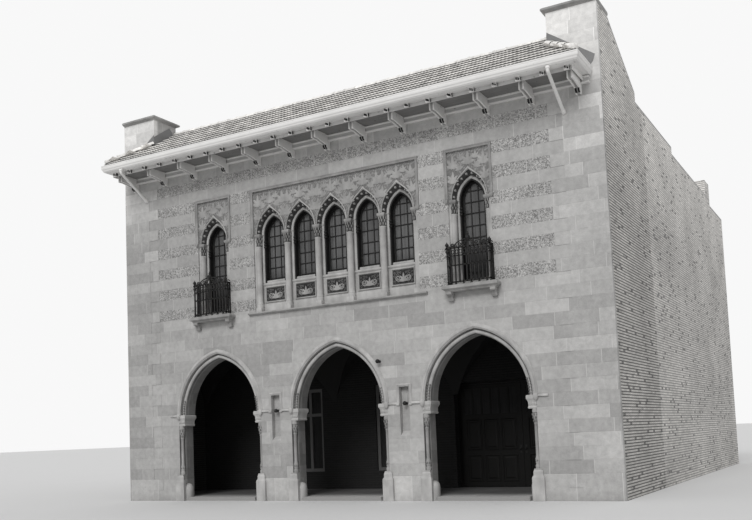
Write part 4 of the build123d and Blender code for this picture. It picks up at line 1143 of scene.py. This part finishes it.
def makeRailings():
    form = Form()
    b, y, foot, top = railing["bar"], railing["front"], railing["foot"], railing["top"]
    mid = y + b / 2
    ringZ, ringHalf, ringRise, ringThick = railing["ring"]
    half, rise, base, tip = [railing[key] for key in ("crestHalf", "crestRise", "crestFoot", "crestTop")]
    w, d, low = railing["spike"]
    for centre in sideCentres:
        left, right = centre - railing["half"], centre + railing["half"]
        for z, height in railing["rails"]:
            form.box((left, y, z - height), (right, y + b, z))
            form.box((left, y, z - height), (left + b, 0, z))
            form.box((right - b, y, z - height), (right, 0, z))
        count = round((right - left) / railing["pitch"])
        pitch = (right - left - b) / count
        for i in range(count + 1):
            x = left + pitch * i
            standing = i % 2 == 0 or i == count
            form.box((x, y, foot if standing else foot + 0.05), (x + b, y + b, top - 0.01))
            if standing:
                form.stack((x - 0.008, y - 0.008), (x + b + 0.008, y + b + 0.008), railing["shoe"])
            if i < count:  # rings between the two upper rails
                ring = ellipse((x + b / 2 + pitch / 2, ringZ), ringHalf, ringRise)
                form.tube([(u, mid, z) for u, z in ring], ringThick, 5)
        for x in (left, right - b):
            form.box((x, y / 2, foot), (x + b, y / 2 + b, top - 0.01))
            form.box((x, -b, foot), (x + b, 0, top - 0.01))
        for x, way in ((left + b / 2, -1), (right - b / 2, 1)):  # corner scrolls and knobs
            for inset, z, start, rounds, radius, end, thick in railing["cornerScrolls"]:
                first = math.pi * (start if way > 0 else 1 - start)
                eye = (x - way * inset, mid, z)
                form.tube(spiral(eye, first, way * rounds, radius, end), thick)
            form.lathe((x, mid, top), railing["knob"], 12)
            form.lathe((x, mid, railing["collarZ"]), railing["collar"], 10)
            form.tube([(x, v, z) for v, z in railing["arm"]], 0.013)
        for side in sides:  # arched crest with its scrolls
            form.tube([(centre + side * half * math.cos(a), mid, base + rise * math.sin(a))
                       for a in turns(10, math.pi / 2)], 0.016)
            for out, z, start, rounds, radius, thick in railing["crestScrolls"]:
                eye = (centre + side * out, mid, z)
                form.tube(spiral(eye, math.pi * start, side * rounds, radius, 0.012), thick)
            form.lathe((centre + side * half, mid, base), railing["crestBall"], 10)
        form.lathe((centre, mid, tip), railing["finial"], 12)
        form.box((centre - w, mid - d, low), (centre + w, mid + d, tip))
    form.piece("railing_set", blackIron, "black_iron", "balcony_railings", smooth=40)


makeRailings()
print("balconies made")


roof = {
    "eaveY": -1.05, "eaveZ": 9.7, "ridgeY": 0.945, "ridgeZ": 10.96, "halfWide": 6.96, "pierInner": 6.02,
    "ridgeTile": 0.335, "ridgeRadius": 0.085, "hipTiles": 4, "hipRadius": 0.098,
    "hipStart": (0.03, 0.03, 0.055), "hipEnd": (-0.01, 0.065),
    # lead where the roof meets the right end pier: in front of it, up its side and on the tiles
    "frontLead": ((6.02, 10.32), (6.02, 10.72), (7.11, 9.95), (7.06, 9.8), (6.96, 9.7), (6.5, 10)),
    "sideLead": ((0, 10.34), (0, 10.66), (0.66, 11.1), (0.8, 10.99), (0.8, 10.86)),
    "tileLead": ((-0.02, 10.33), (-0.02, 10.4), (0.8, 10.9), (0.8, 10.84)),
}
slopeLength = math.hypot(roof["ridgeY"] - roof["eaveY"], roof["ridgeZ"] - roof["eaveZ"])
slopeY = (roof["ridgeY"] - roof["eaveY"]) / slopeLength
slopeZ = (roof["ridgeZ"] - roof["eaveZ"]) / slopeLength


def tileRow(tiles, shadeStrips, start, along, length, up, out, long):
    # one course of interlocking tiles with two rolls each, its lower edge raised over the course below
    count = max(8, round(length / tiling["wave"] * tiling["steps"]))
    under, low, edge, high = [], [], [], []
    for i in range(count + 1):
        point = start + along * (length * i / count)
        if i % (2 * tiling["steps"]) == 0:
            loose = random.uniform(-tiling["loose"], tiling["loose"])
        lift = tiling["lift"] * abs(math.sin(math.pi * point.dot(along) / tiling["wave"])) + loose
        under.append(point)
        low.append(point + out * (tiling["gap"] + lift))
        edge.append(point + out * (tiling["gap"] + tiling["thick"] + lift))
        high.append(point + up * long + out * (tiling["flatten"] * lift))
    tiles.rings([low, edge, high], closed=False)
    # painted shadow: a dark strip under each course's raised lower edge
    shadeStrips.rings([under, low], closed=False)


def halfRound(form, low, high, number, radius):
    # half-round tiles laid along a ridge or a hip, each with a thicker lower end
    run = high - low
    across = run.normalized().cross(Vector((0, 0, 1))).normalized()
    rise = across.cross(run.normalized())
    for i in range(number):
        first = ((-0.07, 0.5), (-0.045, 0.9)) if i == 0 else ()  # the lowest one has a rounded end
        rings = []
        for t, wide in (*first, (i, 1.1), (i + 0.14, 1.1), (i + 0.145, 1), (i + 1, 0.92)):
            r = radius * wide
            rings.append([low + run * (t / number) + across * (r * math.cos(a)) + rise * (r * math.sin(a))
                          for a in turns(8, math.pi)])
        form.rings(rings, closed=False, capStart=i == 0)


def makeRoof():
    tiles, shadeStrips, caps, lead = Form(), Form(), Form(), Form()
    random.seed(5)
    up, out = Vector((0, slopeY, slopeZ)), Vector((0, -slopeZ, slopeY))
    eaveY, eaveZ, wide, narrow = [roof[key] for key in ("eaveY", "eaveZ", "halfWide", "pierInner")]
    rows = round(slopeLength / tiling["rise"])
    rowLength = slopeLength / rows
    for row in range(rows):
        start = Vector((0, eaveY, eaveZ)) + up * (row * rowLength)
        limit = narrow if start.y > 0 else wide - (wide - narrow) * (start.y - eaveY) / -eaveY
        left = start + Vector((-limit, 0, 0))
        tileRow(tiles, shadeStrips, left, Vector((1, 0, 0)), 2 * limit, up, out, rowLength)
    sideRun, sideRise = wide - narrow, slopeZ / slopeY * -eaveY
    sideLength = math.hypot(sideRun, sideRise)
    count = round(sideLength / tiling["rise"])
    for side in sides:  # hipped returns in front of the end piers
        up = Vector((-side * sideRun, 0, sideRise)) / sideLength
        out = Vector((side * sideRise, 0, sideRun)) / sideLength
        for row in range(count):
            s = row / count
            depth = -eaveY * (1 - s)
            start = Vector((side * wide, -depth, eaveZ)) + up * (s * sideLength)
            tileRow(tiles, shadeStrips, start, Vector((0, 1, 0)), depth, up, out, sideLength / count)
    tiles.piece("roof_tiles", clayTile, "clay_tile", smooth=50)
    shadeStrips.piece("tile_painted_shadows", tileShadow, "clay_tile")
    left, right = [Vector((side * narrow, roof["ridgeY"], roof["ridgeZ"] - 0.01)) for side in sides]
    halfRound(caps, left, right, round(2 * narrow / roof["ridgeTile"]), roof["ridgeRadius"])
    dx, dy, dz = roof["hipStart"]
    endY, endZ = roof["hipEnd"]
    for side in sides:
        low = Vector((side * (wide - dx), eaveY + dy, eaveZ + dz))
        high = Vector((side * narrow, endY, eaveZ + sideRise + endZ))
        halfRound(caps, low, high, roof["hipTiles"], roof["hipRadius"])
        lead.prism([(side * x, z) for x, z in roof["frontLead"]], -0.006, -0.001, "Y")
        for outline, reach in ((roof["sideLead"], 0.006), (roof["tileLead"], 0.05)):
            lead.prism(outline, *between(0, side, narrow - reach, narrow))
    caps.piece("ridge_and_hip_tiles", clayTile, "clay_tile", "ridge_tiles", smooth=50)
    lead.piece("pier_flashings", flashing, "painted_sheet_metal", bevel=0.001)


makeRoof()

eaves = {
    "tails": 25, "spacing": 0.559, "half": 6.81,
    "tail": -0.93, "tailHalf": 0.058, "tailLow": 9.374, "tailHigh": 9.464,
    "tailSteps": ((0, 0.07), (0, 0.006), (0.012, 0)),
    "tailShadeMarks": ((-0.031, 9.441), (0.031, 9.396)), "tailShadeMark": 0.019,
    "bracketHalf": 0.065, "cheek": 0.034,
    "bracket": ((-0.1, 9.465), (-0.715, 9.465), (-0.715, 9.25), (-0.545, 9.25), (-0.19, 9.195),
                (-0.165, 9.13), (-0.07, 9.085), (0, 9.085), (0, 9.31), (-0.1, 9.31)),
    "web": ((-0.1, 9.463), (-0.7, 9.463), (-0.7, 9.252), (-0.56, 9.252), (-0.53, 9.28),
            (-0.235, 9.236), (-0.225, 9.204), (-0.19, 9.198), (-0.168, 9.135), (-0.07, 9.088),
            (-0.005, 9.088), (-0.005, 9.31), (-0.1, 9.31)),
    "footHole": ((-0.193, 9.19), (-0.1885, 9.19), (-0.168, 9.138), (-0.108, 9.108), (-0.112, 9.103),
                 (-0.1735, 9.133)),
    "footHoles": ((-0.057, -0.007), (0.012, 0.056)),
    "plateHalf": 6.96,
    "plateEdges": (((0, 9.31), (-0.09, 9.31), (-0.1, 9.318), (-0.1, 9.332), (-0.082, 9.342), (-0.082, 9.35),
                    (0, 9.35)),
                   ((0, 9.425), (-0.082, 9.425), (-0.088, 9.432), (-0.1, 9.44), (-0.1, 9.465), (0, 9.465))),
    "plateBand": ((0, 9.34), (-0.078, 9.34), (-0.078, 9.43), (0, 9.43)),
    "fascia": (-0.862, 9.37, 9.385, 9.464),  # Y, underside, foot of the notches and top
    "strip": ((-1.045, 9.492), (-1.045, 9.48), (-0.98, 9.4605), (-0.862, 9.4605), (-0.862, 9.4645),
              (-0.976, 9.4645), (-0.976, 9.492)),
    "stripHalf": 6.9, "returns": (9.484, 9.489),
    "soffitBoards": ((-6.8, -0.835, 9.4605), (6.8, -0.102, 9.4645), 0.105),
    "collarAt": (6.33, -1.05, 9.46),
    "collar": ((0.046, -0.03), (0.052, -0.026), (0.052, 0.022), (0.046, 0.03)),
    "wallCollar": ((-0.075, 8.786), (-0.02, 8.752)), "wallCollarRadius": 0.052,
}
cornice = {
    "half": 7.035, "front": -1.125, "joints": 12, "jointHalf": 0.008, "jointSpan": (9.6, 9.64),
    # each step: in from its face, height
    "section": ((0, 9.68), (0, 9.652), (0.007, 9.646), (0.007, 9.636), (0.003, 9.63), (0.003, 9.585),
                (0.012, 9.565), (0.02, 9.56), (0.03, 9.535), (0.034, 9.518), (0.05, 9.505), (0.06, 9.49),
                (0.15, 9.49), (0.15, 9.502), (0.07, 9.503), (0.022, 9.56), (0.014, 9.68)),
}


def makeEavesTrim():
    form, holesAndShade, plate, fascia, boards = Form(), Form(), Form(), Form(), Form()
    w, cheek, half, y = [eaves[key] for key in ("bracketHalf", "cheek", "tailHalf", "tail")]
    face, low, notch, high = eaves["fascia"]
    end, spacing = eaves["half"], eaves["spacing"]
    places = [(i - (eaves["tails"] - 1) / 2) * spacing for i in range(eaves["tails"])]
    for x in places[::2]:  # brackets with a sunk underside and two holes in the foot
        form.prism(eaves["bracket"], x - w, x - w + cheek)
        form.prism(eaves["bracket"], x + w - cheek, x + w)
        # painted shade: the bracket's sunk underside is painted darker
        plate.prism(eaves["web"], x - w + cheek, x + w - cheek)
        for a, b in eaves["footHoles"]:
            holesAndShade.prism(eaves["footHole"], x + a, x + b)
    for x in places:  # ends of the joists' tails
        rings = []
        for inset, back in eaves["tailSteps"]:
            left, right = x - half + inset, x + half - inset
            under, over = eaves["tailLow"] + inset, eaves["tailHigh"] - inset
            corners = ((left, under), (right, under), (right, over), (left, over))
            rings.append([(u, y + back, z) for u, z in corners])
        form.rings(rings, capEnd=True)
        # painted shade: two dark marks on the end of each tail, a hole and the shadow beside it
        for across, z in eaves["tailShadeMarks"]:
            holesAndShade.tube([(x + across, y - 0.002, z), (x + across, y + 0.01, z)], eaves["tailShadeMark"], 12)
    for outline in eaves["plateEdges"]:
        form.prism(outline, -eaves["plateHalf"], eaves["plateHalf"])
    fascia.prism(eaves["plateBand"], 0.005 - eaves["plateHalf"], eaves["plateHalf"] - 0.005)
    for x in places[:-1]:  # white face of the fascia board between the tails
        fascia.box((x + 0.045, face, notch), (x + spacing - 0.045, face + 0.004, high))
    fascia.box((-end, face, low), (end, face + 0.004, notch))
    # painted strips that close the slot behind the cornice
    form.prism(eaves["strip"], -eaves["stripHalf"], eaves["stripHalf"])
    returns = eaves["returns"]
    for side in sides:
        for part, near, far, bottom, top, back in (
                (fascia, end - 0.057, end, notch, high, face + 0.004),
                (form, end, eaves["stripHalf"], *returns, -0.01),
                (form, end, end + 0.02, low, returns[0], -0.01)):
            a, b = between(0, side, near, far)
            part.box((a, face, bottom), (b, back, top))
    (x0, y0, z0), (x1, y1, z1), wide = eaves["soffitBoards"]
    for k in range(int((y1 - y0) / wide) + 1):
        boards.box((x0, y0 + k * wide, z0), (x1, min(y1, y0 + (k + 1) * wide - 0.004), z1))
    form.piece("eaves_brackets_and_mouldings", whitePaint, "painted_wood", "eaves_brackets", "wall_plate",
               bevel=0.003)
    plate.piece("eaves_sunk_faces", dullShadePaint, "painted_wood")
    fascia.piece("fascia_faces", fasciaPaint, "painted_wood")
    holesAndShade.piece("eaves_holes_and_painted_shade", darkSteelAndShade, "black_iron")
    boards.piece("soffit_boards", soffitPaint, "painted_wood")


def makeCornice():
    form, collars = Form(), Form()
    x, y, half = cornice["half"], cornice["front"], cornice["jointHalf"]
    low, high = cornice["jointSpan"]
    form.solid([[((x - out) * side, 0 if wall else y + out, z) for out, z in cornice["section"]]
                for side, wall in ((-1, True), (-1, False), (1, False), (1, True))])
    for i in range(1, cornice["joints"]):  # joints in the sheet metal
        joint = -x + 2 * x * i / cornice["joints"]
        form.box((joint - half, y + 0.001, low), (joint + half, y + 0.006, high))
    form.piece("gutter_cornice", gutterPaint, "painted_sheet_metal", "gutter", smooth=25)
    x, y, z = eaves["collarAt"]
    for foot in (-x, x):  # where the downspouts meet gutter and wall
        collars.lathe((foot, y, z), eaves["collar"], 16)
        collars.tube([(foot, v, w) for v, w in eaves["wallCollar"]], eaves["wallCollarRadius"], 14)
    collars.piece("downspout_collars", gutterPaint, "painted_sheet_metal", smooth=40)


makeEavesTrim()
makeCornice()

cap = {
    "inner": 5.925, "top": -0.04,  # height over its underside and step out of each level
    "levels": ((0, -0.09), (0.018, -0.07), (0.03, -0.035), (0.045, -0.012), (0.05, 0), (0.09, 0)),
}


def makeCaps():
    form = Form()
    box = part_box("pier_caps")
    levels = raised(cap["levels"], box[0].z) + [(box[1].z, cap["top"])]
    for side in sides:  # the outer side is flush with the side wall
        a, b = between(0, side, cap["inner"], house["wallEnd"])
        rings = []
        for z, out in levels:
            left, right = a - (out if side > 0 else 0), b + (out if side < 0 else 0)
            rings.append(plan(left, box[0].y - out, right, box[1].y + out, z))
        form.solid(rings)
    form.piece("pier_cap_set", weatheredAndShadedStone, "ashlar_stone", "pier_caps", bevel=0.004)


makeCaps()
print("roof made")


door = {
    "front": 3.25, "back": 3.3, "stile": 0.13, "hingeEdges": (1.966, 5.534),
    "lightBottom": 2.08, "lightHeight": 0.7, "lights": 6, "bar": 0.045, "recess": 0.02,
    "panelRows": ((0.26, 0.98), (1.1, 1.95)), "panelColumns": 3, "panelIn": 0.03,
    # out from the panel's edge and Y from the door's face
    "section": ((0, 0), (0, -0.012), (-0.018, -0.016), (-0.032, -0.006), (-0.04, 0)),
    "field": ((0.07, 0), (0.1, -0.01)),
    "handleIn": 0.07, "handleZ": 1.12, "plate": (1, 1.22),
}


def makeDoorTrim(node, body, meeting):
    trim, panes, metal = Form(), Form(), Form()
    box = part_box(node)
    front, back, recess = door["front"], door["back"], door["recess"]
    leafLow, leafHigh = max(box[0].x, door["hingeEdges"][0]), min(box[1].x, door["hingeEdges"][1])
    first, inner = leafLow + door["stile"], leafHigh - leafLow - 2 * door["stile"]
    width = inner / door["panelColumns"]
    section = [(out, front + y) for out, y in door["section"]]
    for low, high in door["panelRows"]:
        for i in range(door["panelColumns"]):
            x0 = first + i * width + door["panelIn"]
            x1 = x0 + width - 2 * door["panelIn"]
            trim.mould([(x0, low), (x0, high), (x1, high), (x1, low), (x0, low)], section)
            rings = []
            for inset, y in door["field"]:
                left, right, under, over = x0 + inset, x1 - inset, low + inset, high - inset
                corners = ((left, under), (right, under), (right, over), (left, over))
                rings.append([(u, front + y, z) for u, z in corners])
            trim.solid(rings)
    pitch = (inner + door["bar"]) / door["lights"]
    bottom, top = door["lightBottom"], door["lightBottom"] + door["lightHeight"]
    for i in range(door["lights"]):
        x0 = first + i * pitch
        for y in (front + recess - 0.004, back - recess - 0.002):
            panes.box((x0, y, bottom), (x0 + pitch - door["bar"], y + 0.006, top))
    x, z = (leafHigh - door["handleIn"]) if meeting > 0 else (leafLow + door["handleIn"]), door["handleZ"]
    metal.lathe((x, front - 0.045, z), ball(0.03, 8), 14)
    metal.tube([(x, front - 0.03, z), (x, front, z)], 0.011, 8)
    metal.box((x - 0.025, front - 0.004, door["plate"][0]), (x + 0.025, front, door["plate"][1]))
    trim.piece(node + "_mouldings", shadedDoorWood, "dark_door_wood", body=body, bevel=0.002)
    panes.piece(node + "_panes", paneGlass, "glass", body=body)
    metal.piece(node + "_handle", blackIron, "black_iron", body=body, smooth=40)


makeDoorTrim("door_left", "left_door", 1)
makeDoorTrim("door_right", "right_door", -1)
print("doors made")


studio = {"floorTone": 0.6, "floorReach": 400, "skyTone": 0.94, "fill": 0.7,
          "sunStrength": 1.65, "sunSize": 25, "sunFrom": (0.12, -1, 0.78)}


def paleBackdrop(tree, colour, shown):
    # the background is shown pale to the camera, in reflections and through glass
    nodes = Nodes(tree)
    camera, glossy, through = [nodes.node("ShaderNodeLightPath", output=f"Is {kind} Ray")
                               for kind in ("Camera", "Glossy", "Transmission")]
    return nodes.mix(camera.most(glossy).most(through), grey(colour, 0), grey(shown, 0)).socket


def makeStudio():
    mesh = bpy.data.meshes.new("studio_floor")
    r = studio["floorReach"]
    mesh.from_pydata(plan(-r, -r, r, r, 0), [], [(0, 1, 2, 3)])
    floor = bpy.data.objects.new("studio_floor", mesh)
    bpy.context.scene.collection.objects.link(floor)
    f = Finish("studio_floor", roughness=0.9)
    tone = f.mix(f.noise(0.4, 3), grey(studio["floorTone"] * 0.97, 0), grey(studio["floorTone"], 0))
    mesh.materials.append(f.finish(tone))
    world = bpy.data.worlds.new("studio")
    bpy.context.scene.world = world
    world.use_nodes = True
    tree = world.node_tree
    background = tree.nodes["Background"]
    tree.links.new(paleBackdrop(tree, studio["fill"], studio["skyTone"]), background.inputs["Color"])
    background.inputs["Strength"].default_value = 1
    sun = bpy.data.lights.new("soft_key", "SUN")
    sun.energy = studio["sunStrength"]
    sun.angle = math.radians(studio["sunSize"])
    lamp = bpy.data.objects.new("soft_key", sun)
    lamp.rotation_mode = "QUATERNION"
    lamp.rotation_quaternion = Vector(studio["sunFrom"]).to_track_quat("Z", "Y")
    bpy.context.scene.collection.objects.link(lamp)


makeStudio()

photoView = {"place": (12.162, -19.694, 1.642), "lens": 43.28, "shiftUp": 0.133,
             "yaw": 0.5088, "pitch": 0.0821, "roll": 0.0402}


def makeCamera():
    data = bpy.data.cameras.new("photo_view")
    camera = bpy.data.objects.new("photo_view", data)
    bpy.context.scene.collection.objects.link(camera)
    yaw, pitch, roll = photoView["yaw"], photoView["pitch"], photoView["roll"]
    level = Vector((-math.sin(yaw), math.cos(yaw), 0))
    right = Vector((math.cos(yaw), math.sin(yaw), 0))
    above = Vector((0, 0, 1))
    ahead = level * math.cos(pitch) + above * math.sin(pitch)
    up = above * math.cos(pitch) - level * math.sin(pitch)
    camX = right * math.cos(roll) - up * math.sin(roll)
    camY = right * math.sin(roll) + up * math.cos(roll)
    turn = Matrix((camX, camY, -ahead)).transposed().to_4x4()
    camera.matrix_world = Matrix.Translation(Vector(photoView["place"])) @ turn
    data.lens = photoView["lens"]
    data.sensor_width = 36
    data.shift_y = photoView["shiftUp"]
    data.clip_end = 1000
    bpy.context.scene.camera = camera


makeCamera()
bpy.context.scene.view_settings.view_transform = "Standard"
print("studio made")
